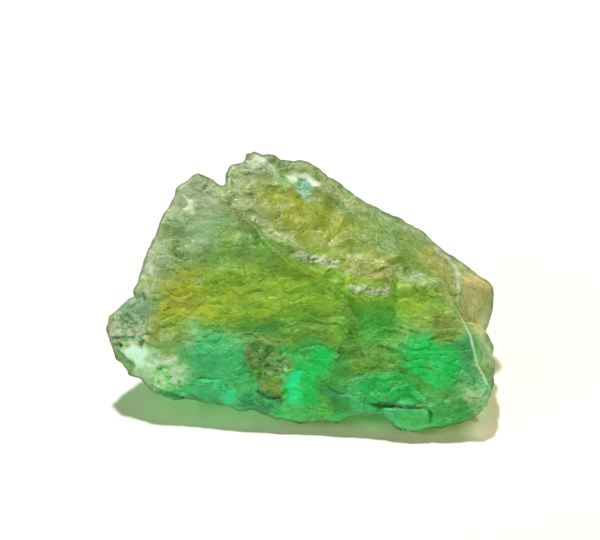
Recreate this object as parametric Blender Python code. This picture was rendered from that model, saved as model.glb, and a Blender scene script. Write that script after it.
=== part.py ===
"""A rough, broken piece of emerald crystal, resting on a flat foot.

The stone is one solid. It is laid out as overlapping convex lumps, each given by its corners,
fused into one skin, roughened with ripples, hollows and pits, thinned out to flat facets, and
cut flat where it rests. Corners are (right, back, up) in millimetres, from a point on the
resting plane under the middle of the stone.
"""

import math

import bpy
import bmesh
from mathutils import Vector, noise

# ---- driving dimensions -------------------------------------------------------------------

MM = 0.001                    # one millimetre in Blender's metres
SKIN_STEP = 0.16              # mm, the grain of the fused skin before it is thinned out
SKIN_GAIN = 0.06              # mm, put back on for what fusing rounds off the corners
TRIANGLES = 8600              # faces left after thinning, before the foot is cut
FOOT_BLOCK = (40.0, 30.0, 3.0)    # mm, the block below the resting plane that trims the foot

SWELL_SIZE = 3.2              # mm across one broad swelling
SWELL_HEIGHT = 0.12           # mm
RIPPLE_LONG = 2.6             # mm between ripples along the stone
RIPPLE_HIGH = 0.75            # mm between ripples up the face
RIPPLE_HEIGHT = 0.09          # mm
CHIP_SIZE = 2.1               # mm across one broken hollow
CHIP_HEIGHT = 0.27            # mm from the floor of a hollow to the edges round it
CHIP_FINER = 2.9              # the smaller chips are this many times smaller and shallower
CHIP_MIDDLE = 0.62            # the height, from zero to one, that is neither hollow nor edge
LEDGE_BAND = 0.9              # mm either side of the ledge that is jagged
LEDGE_GRAIN = 0.55            # mm across one jag
LEDGE_HEIGHT = 0.26           # mm

FACE_NORMAL = Vector((0.03, -0.80, 0.60)).normalized()    # the way the front face looks
FACE_SURE = 0.95              # a skin that looks this nearly that way is all front face
FACE_NONE = 0.80              # and one that looks less nearly than this is none of it
FACE_CALM = 0.30              # share of the chips that the flat front face keeps

GREEN = (0.16, 0.48, 0.12, 1.0)
GLOSS_ROUGHNESS = 0.3
BERYL_IOR = 1.58
CLEARNESS = 0.5

# ---- the lumps ----------------------------------------------------------------------------

NOSE = [                      # the overhanging left end
    (-12.1, -2.3, 4.3), (-11.8, -2.2, 5.2), (-11.0, -2.0, 5.9), (-10.3, -1.5, 6.0),
    (-11.7, -3.4, 3.4), (-10.8, -4.2, 2.5), (-9.4, -5.1, 1.8), (-7.8, -5.7, 1.4),
    (-9.2, -3.9, 4.4), (-6.0, -3.6, 5.0), (-5.8, -5.9, 1.3),
    (-10.2, 0.4, 4.6), (-8.6, 1.6, 3.2), (-8.8, -1.0, 1.9), (-5.5, 0.5, 1.0),
]

LEFT_PEAK = [                 # the upper left of the front slab, up to the left peak
    (-10.2, -1.0, 6.4), (-9.4, -0.2, 8.0), (-8.6, 0.6, 9.7), (-8.1, 1.6, 11.0),
    (-7.5, 2.2, 11.9), (-6.4, 2.8, 12.6), (-5.5, 3.0, 12.1), (-4.8, 2.6, 11.7),
    (-6.9, 1.3, 11.2), (-8.3, -0.5, 8.9), (-9.3, -1.7, 7.0), (-9.2, -3.3, 5.0),
    (-2.3, 0.2, 9.7), (0.0, -0.9, 8.1), (0.0, -3.3, 5.0),
    (-9.0, 1.8, 6.6), (-7.2, 3.6, 10.4), (-4.6, 4.6, 10.0), (-8.0, 2.4, 4.0), (0.0, 3.0, 4.0),
]

FRONT = [                     # the broad front face below the ledge
    (0.0, -0.9, 8.1), (4.4, -2.0, 6.5), (-6.0, -0.6, 8.4),
    (-9.2, -3.8, 4.4), (-7.8, -5.6, 1.6), (-5.8, -5.9, 1.4), (-4.4, -6.2, 1.2), (-2.6, -6.3, 1.1),
    (-1.4, -6.6, 0.8), (3.1, -6.6, 1.1), (5.4, -7.1, 1.4), (7.0, -4.1, 4.6),
    (-3.5, -3.6, 0.2), (4.0, -4.5, 0.2), (-4.0, 2.0, 3.0), (4.0, 2.0, 3.0),
]

RIGHT_FACE = [                # the right third of the front face, up to its sharp rim
    (4.4, -2.0, 6.5), (6.0, -1.8, 7.0), (8.5, -1.6, 7.2), (9.1, -1.4, 6.7),
    (9.7, -1.4, 5.8), (10.3, -2.4, 5.0), (10.6, -3.2, 4.5), (10.8, -4.2, 4.0),
    (10.9, -5.0, 3.5), (11.5, -5.8, 2.8), (11.7, -6.3, 2.4), (10.8, -6.7, 2.0),
    (5.4, -7.0, 1.6), (3.1, -6.5, 1.3), (8.4, -6.7, 2.2),
    (4.0, 1.0, 3.0), (9.0, 1.0, 3.0), (4.0, -4.0, 0.2), (9.5, -4.0, 0.2),
]

END_FACET = [                 # the facet that closes the right end
    (10.6, -3.2, 4.3), (10.8, -4.2, 3.8), (10.9, -5.0, 3.3), (11.5, -5.8, 2.6), (11.7, -6.3, 2.3),
    (12.0, -5.3, 2.5), (12.0, -3.4, 2.4), (12.0, -2.0, 2.4), (11.8, -0.6, 2.4), (11.6, 0.6, 2.0),
    (11.0, -1.2, 3.7), (10.2, -2.0, 4.6), (9.0, -1.0, 3.0), (10.9, -4.6, -0.4),
    (11.2, -0.5, -0.4), (9.0, -3.0, -0.6), (9.0, 1.0, -0.4),
]

RIGHT_BLOCK = [               # the iron-stained block behind the right end
    (9.0, -0.8, 6.3), (9.8, 3.2, 5.8), (10.5, 3.0, 5.4), (12.0, 2.2, 4.9),
    (12.2, 1.9, 4.6), (12.1, 1.8, 3.3), (11.9, 1.4, 2.0), (11.4, 0.0, 2.7),
    (10.0, -0.8, 4.9), (11.2, 4.1, 3.2), (10.9, 4.0, 0.8), (8.0, 4.8, 1.0), (8.0, 0.0, 2.0),
    (11.3, -0.8, -0.4), (11.2, 1.6, -0.4), (10.4, 3.4, -0.4), (8.4, 4.6, 4.6),
]

UPPER_LEFT = [                # the upper slab, from the back peak to the step in its ridge
    (-4.6, 3.2, 12.1), (-4.2, 3.9, 12.5), (-3.6, 4.2, 12.6), (-2.1, 4.6, 12.4), (-1.1, 5.3, 12.1),
    (0.0, 5.4, 11.7), (1.0, 5.4, 11.2), (2.1, 5.3, 10.4), (3.0, 5.0, 9.5),
    (-4.6, 1.8, 11.8), (-2.3, -0.2, 10.0), (0.0, -1.2, 8.4), (2.8, -2.0, 7.1),
    (-4.4, 3.0, 9.0), (-3.6, 5.4, 10.6), (-1.0, 6.3, 8.4), (1.5, 6.3, 7.6), (3.0, 2.0, 5.0),
    (-2.0, 2.0, 6.0),
]

UPPER_RIGHT = [               # the upper slab, from the step to the right block
    (3.1, 5.1, 9.3), (4.8, 4.6, 8.6), (6.3, 4.2, 7.8), (7.6, 4.0, 7.3), (8.2, 3.8, 6.7),
    (9.8, 3.2, 5.8), (2.6, -2.0, 7.3), (4.4, -2.3, 6.8), (6.0, -2.0, 7.1), (8.5, -1.6, 7.3),
    (9.1, -1.4, 6.7), (1.7, 3.4, 9.8), (0.8, 0.4, 8.8), (1.9, 6.3, 7.6), (3.0, 6.3, 6.8),
    (7.5, 5.2, 4.5), (9.6, 4.2, 4.2), (4.0, 1.0, 4.0), (8.5, 0.5, 4.0),
]

PEAK_LUMP = [                 # the crumbly lump at the back peak
    (-3.6, 4.2, 12.6), (-3.4, 4.5, 13.0), (-2.6, 5.0, 13.0), (-1.9, 5.2, 12.7), (-1.3, 5.2, 12.2),
    (-3.4, 3.4, 12.1), (-1.9, 3.8, 12.1), (-2.7, 3.0, 11.7), (-2.6, 4.6, 10.5),
]

LEDGE_LUMP = [                # the knob that hangs over the front face
    (2.8, -2.2, 7.2), (3.5, -2.6, 7.2), (4.4, -2.5, 6.7), (5.9, -2.3, 7.2), (6.1, -1.6, 8.1),
    (5.2, -1.0, 8.6), (3.4, -0.8, 8.8), (3.0, -1.6, 7.9), (4.8, -2.1, 8.0), (4.5, 0.0, 6.5),
]

LEFT_LOBE = [                 # the rounded toe under the middle of the face
    (-1.0, -6.2, 1.7), (0.6, -6.3, 1.8), (2.6, -6.4, 1.6), (-1.6, -6.4, 1.0), (-0.6, -6.6, 0.8),
    (0.6, -6.8, 0.5), (2.2, -6.8, 0.6), (3.2, -6.7, 1.0), (-0.8, -5.4, -0.4), (2.4, -5.5, -0.4),
    (1.0, -3.5, 1.0), (3.0, -3.0, -0.4), (-1.5, -3.0, -0.4),
]

RIGHT_LOBE = [                # the longer toe under the right of the face
    (5.2, -7.0, 1.8), (8.2, -7.0, 2.2), (11.5, -6.5, 2.4), (5.2, -7.1, 1.3), (6.0, -7.5, 0.8),
    (7.0, -7.7, 0.7), (8.5, -7.5, 0.9), (10.0, -7.2, 1.3), (11.0, -6.9, 1.8), (11.6, -6.4, 2.2),
    (6.2, -6.3, -0.4), (9.2, -6.0, -0.4), (10.9, -5.2, -0.4), (8.0, -4.0, 1.0), (7.0, -3.0, -0.4),
]

CORE = [                      # the mass behind, with the foot
    (-8.6, 2.8, 8.6), (-9.4, 1.4, 6.0), (-8.0, 3.6, 5.0), (-6.4, 4.4, 9.4), (-3.6, 5.6, 9.4),
    (0.0, 5.6, 7.8), (4.0, 5.4, 6.4), (8.4, 5.0, 4.6), (10.9, 4.0, 3.0),
    (-6.4, 4.0, 2.6), (-3.6, 4.2, -0.6), (2.0, 5.0, -0.6), (8.6, 4.0, -0.6), (10.8, 3.2, 1.2),
    (-4.2, -4.2, -0.6), (2.0, -5.4, -0.6), (8.6, -5.4, -0.6), (10.6, -3.2, -0.6), (10.8, 1.4, -0.6),
    (-6.2, -2.4, 1.0), (-6.6, 2.0, 1.2),
]

BACK_SLAB = [                 # the thick layer that stands out on the broken back
    (-5.2, 5.0, 8.8), (-2.6, 6.0, 9.2), (1.2, 6.4, 7.9), (2.8, 6.2, 7.4), (4.8, 6.0, 6.0),
    (5.4, 6.2, 4.2), (-6.0, 5.2, 5.2), (-3.2, 6.3, 3.6), (2.6, 6.6, 3.0), (-2.0, 3.0, 6.0),
    (3.0, 3.0, 4.0), (7.6, 4.9, 4.6),
]

BACK_STEP = [                 # the thinner layer below it, reaching the foot
    (-4.4, 5.0, 4.2), (0.6, 5.9, 4.0), (6.4, 5.7, 3.6), (9.4, 4.9, 2.6), (-2.8, 5.0, 1.2),
    (1.4, 5.6, 0.6), (6.8, 5.2, 0.4), (8.8, 4.6, 1.2), (0.0, 3.0, 2.0), (6.0, 3.0, 2.0),
]

LUMPS = [NOSE, LEFT_PEAK, FRONT, RIGHT_FACE, END_FACET, RIGHT_BLOCK, UPPER_LEFT, UPPER_RIGHT,
         PEAK_LUMP, LEDGE_LUMP, LEFT_LOBE, RIGHT_LOBE, CORE, BACK_SLAB, BACK_STEP]

LEDGE_LINE = [                # the lip of the upper slab, where the stone is most jagged
    (-4.6, 1.8, 11.9), (-2.3, -0.2, 10.0), (0.0, -1.2, 8.4), (2.8, -2.0, 7.1),
    (4.4, -2.3, 6.8), (6.0, -2.0, 7.1), (8.5, -1.6, 7.2),
]

PITS = [                      # middle, width and depth of the deepest hollows, all in mm
    ((0.1, 4.2, 10.9), 0.9, 0.40),
    ((-2.7, -4.9, 2.9), 1.1, 0.28),
    ((-9.6, -0.6, 6.4), 0.7, 0.30),
    ((4.9, 0.9, 8.3), 1.2, 0.25),
]

# ---- laying out the lumps -----------------------------------------------------------------


def clear_scene():
    for item in list(bpy.data.objects):
        bpy.data.objects.remove(item, do_unlink=True)


def add_lump(bm, corners):
    """Add the closed convex lump that just holds the corners."""
    lump = bmesh.new()
    for corner in corners:
        lump.verts.new(Vector(corner) * MM)
    hull = bmesh.ops.convex_hull(lump, input=lump.verts)
    inside = {item for item in hull["geom_interior"] if isinstance(item, bmesh.types.BMVert)}
    bmesh.ops.delete(lump, geom=list(inside), context="VERTS")
    bmesh.ops.recalc_face_normals(lump, faces=lump.faces)
    mesh = bpy.data.meshes.new("lump")
    lump.to_mesh(mesh)
    lump.free()
    bm.from_mesh(mesh)
    bpy.data.meshes.remove(mesh)


def lay_out(name):
    """All the lumps in one object, still overlapping."""
    bm = bmesh.new()
    for corners in LUMPS:
        add_lump(bm, corners)
    mesh = bpy.data.meshes.new(name)
    bm.to_mesh(mesh)
    bm.free()
    stone = bpy.data.objects.new(name, mesh)
    bpy.context.collection.objects.link(stone)
    return stone


# ---- one rough skin -----------------------------------------------------------------------


def bake_modifiers(stone):
    """Turn what the modifiers show into the object's own mesh."""
    shown = stone.evaluated_get(bpy.context.evaluated_depsgraph_get())
    mesh = bpy.data.meshes.new_from_object(shown)
    stone.modifiers.clear()
    old = stone.data
    stone.data = mesh
    bpy.data.meshes.remove(old)


def fuse(stone):
    skin = stone.modifiers.new("fuse", "REMESH")
    skin.mode = "VOXEL"
    skin.voxel_size = SKIN_STEP * MM
    bake_modifiers(stone)


def distance_to_line(point, line):
    """Shortest way from a point to a run of straight pieces."""
    nearest = math.inf
    for start, end in zip(line, line[1:]):
        along = end - start
        part = max(0.0, min(1.0, (point - start).dot(along) / along.length_squared))
        nearest = min(nearest, (point - start - along * part).length)
    return nearest


def chip_height(point):
    """Broken hollows that meet in sharp edges: about zero in the floors, one on the edges."""
    large = 1.0 - 2.0 * abs(noise.noise(point / CHIP_SIZE))
    small = 1.0 - 2.0 * abs(noise.noise(point * CHIP_FINER / CHIP_SIZE))
    return large + (small - CHIP_MIDDLE) / CHIP_FINER


def pit_depth(point):
    depth = 0.0
    for middle, width, deep in PITS:
        away = (point - Vector(middle)).length / width
        depth += deep * max(0.0, 1.0 - away * away)
    return depth


def height_at(point, normal, ledge):
    """How far the skin stands out at a point, in mm."""
    swell = noise.noise(point / SWELL_SIZE) * SWELL_HEIGHT
    stretched = Vector((point.x / RIPPLE_LONG, point.y / RIPPLE_LONG, point.z / RIPPLE_HIGH))
    ripple = noise.noise(stretched) * RIPPLE_HEIGHT
    facing = (normal.dot(FACE_NORMAL) - FACE_NONE) / (FACE_SURE - FACE_NONE)
    calm = 1.0 - max(0.0, min(1.0, facing)) * (1.0 - FACE_CALM)
    chip = (chip_height(point) - CHIP_MIDDLE) * CHIP_HEIGHT * calm
    near = max(0.0, 1.0 - distance_to_line(point, ledge) / LEDGE_BAND)
    jag = noise.noise(point / LEDGE_GRAIN) * LEDGE_HEIGHT * near
    return SKIN_GAIN + swell + ripple + chip + jag - pit_depth(point)


def roughen(stone):
    ledge = [Vector(corner) for corner in LEDGE_LINE]
    bm = bmesh.new()
    bm.from_mesh(stone.data)
    bm.normal_update()
    for vert in bm.verts:
        vert.co += vert.normal * height_at(vert.co / MM, vert.normal, ledge) * MM
    bm.to_mesh(stone.data)
    bm.free()


def thin_out(stone):
    """Few large triangles where the skin is flat, more where it is broken."""
    stone.data.update()
    quads = len(stone.data.polygons)
    thin = stone.modifiers.new("thin", "DECIMATE")
    thin.use_collapse_triangulate = True
    thin.ratio = TRIANGLES / (2.0 * quads)
    bake_modifiers(stone)


# ---- the foot, the origin and the material ------------------------------------------------


def foot_cutter():
    """A block whose top is the resting plane."""
    bm = bmesh.new()
    bmesh.ops.create_cube(bm, size=MM)
    bmesh.ops.scale(bm, vec=FOOT_BLOCK, verts=bm.verts)
    bmesh.ops.translate(bm, vec=(0.0, 0.0, -FOOT_BLOCK[2] * MM / 2.0), verts=bm.verts)
    mesh = bpy.data.meshes.new("foot_cutter")
    bm.to_mesh(mesh)
    bm.free()
    cutter = bpy.data.objects.new("foot_cutter", mesh)
    cutter.hide_render = True
    cutter.display_type = "WIRE"
    bpy.context.collection.objects.link(cutter)
    return cutter


def cut_foot(stone):
    cutter = foot_cutter()
    trim = stone.modifiers.new("trim", "BOOLEAN")
    trim.operation = "DIFFERENCE"
    trim.object = cutter
    bake_modifiers(stone)
    bpy.data.objects.remove(cutter, do_unlink=True)


def centre(stone):
    """Put the origin under the middle of the stone, on the plane of its foot."""
    xs, ys, zs = zip(*(vert.co for vert in stone.data.vertices))
    middle = Vector(((min(xs) + max(xs)) / 2.0, (min(ys) + max(ys)) / 2.0, min(zs)))
    for vert in stone.data.vertices:
        vert.co -= middle
    return middle


def emerald_material():
    material = bpy.data.materials.new("emerald")
    material.use_nodes = True
    shader = material.node_tree.nodes["Principled BSDF"]
    shader.inputs["Base Color"].default_value = GREEN
    shader.inputs["Roughness"].default_value = GLOSS_ROUGHNESS
    shader.inputs["Metallic"].default_value = 0.0
    shader.inputs["IOR"].default_value = BERYL_IOR
    shader.inputs["Transmission Weight"].default_value = CLEARNESS
    return material


def main():
    clear_scene()
    stone = lay_out("emerald")
    fuse(stone)
    roughen(stone)
    thin_out(stone)
    cut_foot(stone)
    middle = centre(stone)
    stone.data.materials.append(emerald_material())
    print("stone of", len(stone.data.polygons), "faces, moved to its middle by mm", middle / MM)


main()
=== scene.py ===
# %% [markdown]
# # A rough piece of emerald
# The real thing is one broken piece of green beryl, about 24 mm long: cloudy, half clear, flat in front,
# with a jagged ledge running across it. Its solid is already made and packed as a fixed frame. This lesson
# gives it a fine skin, its relief, its colours and its light, and nothing here moves the solid or makes it
# larger.

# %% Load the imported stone
import math

import bmesh
import bpy
import numpy as np
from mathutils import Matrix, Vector, noise
from mathutils.bvhtree import BVHTree


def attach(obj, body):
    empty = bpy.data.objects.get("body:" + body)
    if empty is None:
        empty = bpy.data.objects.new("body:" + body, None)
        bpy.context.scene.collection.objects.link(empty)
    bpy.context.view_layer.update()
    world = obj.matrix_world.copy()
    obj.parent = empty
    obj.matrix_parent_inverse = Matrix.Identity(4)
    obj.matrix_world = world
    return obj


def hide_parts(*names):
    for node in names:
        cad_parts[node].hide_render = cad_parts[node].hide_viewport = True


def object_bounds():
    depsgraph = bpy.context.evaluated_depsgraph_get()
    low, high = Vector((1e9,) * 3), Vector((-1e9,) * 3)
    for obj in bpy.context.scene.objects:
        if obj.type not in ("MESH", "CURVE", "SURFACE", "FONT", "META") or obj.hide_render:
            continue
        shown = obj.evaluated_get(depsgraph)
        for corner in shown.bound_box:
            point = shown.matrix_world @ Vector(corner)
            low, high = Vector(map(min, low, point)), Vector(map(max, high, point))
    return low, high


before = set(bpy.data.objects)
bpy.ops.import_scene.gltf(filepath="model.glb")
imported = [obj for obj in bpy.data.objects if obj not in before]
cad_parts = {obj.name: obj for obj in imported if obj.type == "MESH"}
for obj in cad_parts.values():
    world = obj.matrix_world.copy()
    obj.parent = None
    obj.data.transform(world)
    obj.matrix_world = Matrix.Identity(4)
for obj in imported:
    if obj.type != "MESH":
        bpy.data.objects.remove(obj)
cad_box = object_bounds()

MM = 0.001                               # one millimetre in the frame's metres
stone_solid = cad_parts["emerald"]
print("the packed solid has", len(stone_solid.data.polygons), "faces, in the box", cad_box)

# %% [markdown]
# ## The camera
# A long lens looks down on the stone from 35 degrees above the table. A short lens close by would be easier
# to frame, but it would swell the nearest corner. From far off, the stone keeps its own proportions.

# %% Camera
LOOK_AT = Vector((-0.108, 0.484, 7.25)) * MM
LOOK_DOWN = math.radians(35.0)
CAMERA_AWAY = 160.0 * MM
LENS = 154.56                            # mm
SENSOR_WIDTH = 36.0                      # mm
FARTHEST = 10.0                          # metres, beyond which nothing is drawn
TOWARDS_CAMERA = Vector((0.0, -math.cos(LOOK_DOWN), math.sin(LOOK_DOWN)))


def add_camera():
    data = bpy.data.cameras.new("camera")
    data.lens = LENS
    data.sensor_width = SENSOR_WIDTH
    data.clip_start = MM
    data.clip_end = FARTHEST
    camera = bpy.data.objects.new("camera", data)
    bpy.context.collection.objects.link(camera)
    camera.location = LOOK_AT + TOWARDS_CAMERA * CAMERA_AWAY
    camera.rotation_euler = (math.pi / 2.0 - LOOK_DOWN, 0.0, 0.0)
    bpy.context.scene.camera = camera
    return camera


camera = add_camera()
print("camera at", tuple(round(v / MM, 1) for v in camera.location), "mm")

# %% [markdown]
# ## The sheet it lies on
# A small stone is looked at on a sheet of white card. One flat square does it, with no shine at all, so
# that the light can be raised until the card is pure white and only the shadow is left on it.

# %% White sheet
FLOOR_SIDE = 1600.0 * MM
FLOOR_WHITE = (0.86, 0.86, 0.84, 1.0)
FLOOR_ROUGHNESS = 0.9


def add_floor():
    bm = bmesh.new()
    bmesh.ops.create_grid(bm, x_segments=1, y_segments=1, size=FLOOR_SIDE / 2.0)
    mesh = bpy.data.meshes.new("floor")
    bm.to_mesh(mesh)
    bm.free()
    floor = bpy.data.objects.new("floor", mesh)
    bpy.context.collection.objects.link(floor)
    material = bpy.data.materials.new("white_sheet")
    material.use_nodes = True
    shader = material.node_tree.nodes["Principled BSDF"]
    shader.inputs["Base Color"].default_value = FLOOR_WHITE
    shader.inputs["Roughness"].default_value = FLOOR_ROUGHNESS
    shader.inputs["Specular IOR Level"].default_value = 0.0
    mesh.materials.append(material)
    return floor


floor = add_floor()
print("white sheet", round(FLOOR_SIDE / MM), "mm wide")

# %% [markdown]
# ## The light
# One small bright lamp stands high up, behind the stone and a little to the left, so the shadow falls
# forward and keeps a clear edge. A large weak lamp lifts the left flank, and a pale, faintly yellow world
# fills the rest. A single big lamp would be softer, but it would wash the relief out.

# %% Lamps and world
TO_LAMP = Vector((-0.10, 0.48, 1.0)).normalized()
LAMP_AWAY = 500.0 * MM
LAMP_SIDE = 44.0 * MM
LAMP_WATTS = 2.95
LAMP_COLOUR = (1.0, 0.965, 0.945)
TO_FILL = Vector((-0.85, -0.42, 0.40)).normalized()
FILL_AWAY = 600.0 * MM
FILL_SIDE = 360.0 * MM
FILL_WATTS = 0.9
FILL_COLOUR = (1.0, 0.97, 0.91)
SKY = (0.96, 0.955, 0.66, 1.0)
SKY_STRENGTH = 0.215


def add_lamp(name, towards, away, side, watts, tint):
    data = bpy.data.lights.new(name, "AREA")
    data.shape = "DISK"
    data.size = side
    data.energy = watts
    data.color = tint
    lamp = bpy.data.objects.new(name, data)
    bpy.context.collection.objects.link(lamp)
    lamp.location = LOOK_AT + towards * away
    lamp.rotation_euler = towards.to_track_quat("Z", "Y").to_euler()


def set_world():
    world = bpy.data.worlds.new("studio")
    world.use_nodes = True
    sky = world.node_tree.nodes["Background"]
    sky.inputs["Color"].default_value = SKY
    sky.inputs["Strength"].default_value = SKY_STRENGTH
    bpy.context.scene.world = world


add_lamp("key", TO_LAMP, LAMP_AWAY, LAMP_SIDE, LAMP_WATTS, LAMP_COLOUR)
add_lamp("fill", TO_FILL, FILL_AWAY, FILL_SIDE, FILL_WATTS, FILL_COLOUR)
set_world()
bpy.context.scene.view_settings.view_transform = "Standard"
print("lamps of", LAMP_WATTS, "and", FILL_WATTS, "W, and the world")

# %% [markdown]
# ## A skin fine enough to carry relief
# The solid's faces are half a millimetre across: fine for resting and measuring, too coarse for a close
# look. A voxel remesh gives an even skin of small squares, and a little smoothing takes the old facets off
# it. Subdividing would be simpler, but it would keep the long thin triangles, and relief looks torn on
# those.

# %% Fine skin
SKIN_STEP = 0.096 * MM
SOFTEN_TIMES = 9
SOFTEN_SHARE = 0.5                       # how far a vertex moves towards its neighbours each time


def copy_solid(name):
    mesh = stone_solid.data.copy()
    mesh.name = name
    mesh.materials.clear()
    piece = bpy.data.objects.new(name, mesh)
    bpy.context.collection.objects.link(piece)
    return piece


def bake_modifiers(piece):
    """Turn what the modifiers show into the piece's own mesh."""
    shown = piece.evaluated_get(bpy.context.evaluated_depsgraph_get())
    mesh = bpy.data.meshes.new_from_object(shown)
    piece.modifiers.clear()
    piece.data = mesh


def fine_skin(piece):
    remesh = piece.modifiers.new("fine", "REMESH")
    remesh.mode = "VOXEL"
    remesh.voxel_size = SKIN_STEP
    soften = piece.modifiers.new("soften", "SMOOTH")
    soften.factor = SOFTEN_SHARE
    soften.iterations = SOFTEN_TIMES
    bake_modifiers(piece)


stone = copy_solid("rough_emerald")
fine_skin(stone)
print("fine skin of", len(stone.data.polygons), "squares")

# %% [markdown]
# ## Reading the skin
# Relief and colour both follow the stone's own faces, so the first step is to read the skin into plain
# arrays, in millimetres. Arrays are many times quicker than visiting each vertex in turn. The front face is
# the one large clean break on the stone, and its slope tells it from the rest.

# %% Points, normals, and the front face
FACE_NORMAL = np.array((0.03, -0.80, 0.60))
FRONT = (0.72, 0.92)                     # cosines: from none to all of a point counts as the front face
SEEN = (0.1, 0.4)                        # the same, for whatever looks forward at all


def read_points(mesh):
    points = np.empty(len(mesh.vertices) * 3)
    mesh.vertices.foreach_get("co", points)
    return points.reshape(-1, 3)


def read_normals(mesh):
    normals = np.empty(len(mesh.vertices) * 3)
    mesh.vertex_normals.foreach_get("vector", normals)
    return normals.reshape(-1, 3)


def read_edges(mesh):
    edges = np.empty(len(mesh.edges) * 2, dtype=np.int64)
    mesh.edges.foreach_get("vertices", edges)
    return edges.reshape(-1, 2)


def smooth_step(value, low, high):
    """Nothing below low, one above high, and a smooth climb between."""
    part = np.clip((value - low) / (high - low), 0.0, 1.0)
    return part * part * (3.0 - 2.0 * part)


points = read_points(stone.data) / MM
normals = read_normals(stone.data)
edges = read_edges(stone.data)
front = smooth_step(normals @ FACE_NORMAL, *FRONT)
seen = smooth_step(normals @ FACE_NORMAL, *SEEN)
print(len(points), "points, of which on the front face about", int(front.sum()))

# %% [markdown]
# ## Frayed places
# Nothing in a crystal ends on a straight line. Each place that gets a colour or a relief of its own is
# found from points that noise has pushed about a little. Three sets of them are kept: a fine fray, the same
# pushed further, and the same bent over a wider reach.

# %% Noise, and pushed points
FINE_PUSH = 0.22                         # mm, the largest push of each kind
MIDDLE_PUSH = 0.50
WIDE_PUSH = 1.00


def noise_at(points, across, shift=(0.0, 0.0, 0.0)):
    """Soft noise, one value for each point.

    across is the size of a cell in mm along each axis, and shift picks another stretch of the noise.
    """
    scaled = points / np.array(across) + np.array(shift)
    return np.array([noise.noise(Vector(row)) for row in scaled])


def push_at(points, across, shifts):
    """Three noises side by side, as a push along x, y and z."""
    return np.stack([noise_at(points, across, shift) for shift in shifts], axis=1)


fray = points + FINE_PUSH * push_at(points, (0.5, 0.5, 0.5), ((6, 6, 6), (1, 6, 3), (8, 2, 4)))
frayed = fray + MIDDLE_PUSH * push_at(points, (0.9, 0.9, 0.9), ((2, 8, 1), (7, 3, 3), (4, 1, 6)))
bent = fray + WIDE_PUSH * push_at(points, (1.6, 1.6, 1.6), ((3, 3, 7), (8, 5, 1), (2, 9, 9)))
print("largest push", round(float(np.abs(bent - points).max()), 2), "mm")

# %% [markdown]
# ## Pointing at a place
# A mark is easiest to place by pointing at it, so each one is given by where it shows when the stone is
# looked at from the front: so many small squares across and down, in a view 600 squares wide and 540 high.
# A sight line turns the two numbers into a point of the imported solid, in millimetres, and one that just
# misses takes the nearest point. From then on the points belong to the stone, and no material asks where
# the camera is.

# %% Pointing
VIEW_WIDTH = 600                         # squares
VIEW_HEIGHT = 540
MIDDLE_ACROSS = VIEW_WIDTH // 2          # the middle square shows LOOK_AT
MIDDLE_DOWN = VIEW_HEIGHT // 2
SQUARE_AT_ONE = SENSOR_WIDTH / LENS / VIEW_WIDTH    # the side of a square, one millimetre from the eye
BACK_PEAK = (260, 160)                   # squares across and squares down, as for every place below
RIGHT = Vector((1.0, 0.0, 0.0))
UP = TOWARDS_CAMERA.cross(RIGHT)

solid_skin = BVHTree.FromPolygons([vertex.co / MM for vertex in stone_solid.data.vertices],
                                  [tuple(face.vertices) for face in stone_solid.data.polygons])


def on_stone(across, down):
    """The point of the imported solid, in mm, that shows at this place in the view."""
    eye = (LOOK_AT + TOWARDS_CAMERA * CAMERA_AWAY) / MM
    sight = (RIGHT * (across - MIDDLE_ACROSS) - UP * (down - MIDDLE_DOWN)) * SQUARE_AT_ONE - TOWARDS_CAMERA
    hit = solid_skin.ray_cast(eye, sight)[0]
    if hit is None:
        hit = solid_skin.find_nearest(eye + sight.normalized() * (CAMERA_AWAY / MM))[0]
    return np.array(hit)


print("the back peak is at", [round(float(part), 1) for part in on_stone(*BACK_PEAK)], "mm")

# %% [markdown]
# ## Ledge, rims and creases
# A broken slab stands over the front face, and its foot is a ledge of crushed crystal. Below it are two
# crumbly pale rims and some short upright streaks; by the table there are creases, cut in and painted dark
# as painted shade, and the right end has an arris with a painted highlight along it. All of them are long
# and thin, so each is a line of a few points laid on the stone, and how near a vertex is to the line says how
# strongly it belongs. Painting them by hand would not survive a change of the skin.

# %% Lines on the stone
VERY_FAR = 1e9                           # mm, farther than anything on the stone
LEDGE_BAND = [(234, 203), (246, 213), (262, 224), (280, 238), (298, 250)]
LEDGE_RIM_LEFT = [(303, 257), (318, 261), (333, 264)]
LEDGE_RIM_RIGHT = [(352, 288), (360, 289), (375, 292), (391, 291)]
LEDGE_SHELF = [(287, 223), (300, 228), (320, 240), (337, 252)]
LEDGE_LUMP = [(354, 264), (370, 268), (386, 266)]
STREAKS = [(400, 275), (418, 276), (433, 282)]
SLAB_RIM = [(338, 198), (352, 208), (368, 213), (385, 222), (400, 228), (420, 237), (440, 248)]
END_LINE = [(437, 250), (447, 258), (455, 268), (459, 280), (460, 300), (464, 324)]
# the right end's arris: raised in the relief and given a painted highlight
END_ARRIS = [(464, 324), (469, 336), (474, 347), (476, 358), (478, 366), (483, 377), (487, 384)]
# creases: cut into the relief, and painted dark as painted shade
SHADED_CREASES = [
    [(372, 405), (387, 406), (402, 407), (426, 408), (431, 414), (431, 421)],
    [(258, 391), (264, 396), (272, 398), (280, 396), (286, 390)],
    [(152, 386), (168, 393), (183, 398)],
    [(145, 295), (146, 300)],
]
OLIVE_RIDGE = [(395, 359), (413, 379), (434, 392), (452, 399), (466, 403), (477, 405)]
TEAL_EDGES = [
    [(113, 338), (128, 338), (143, 337)],
    [(114, 342), (119, 350), (127, 359), (135, 366)],
]


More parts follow.
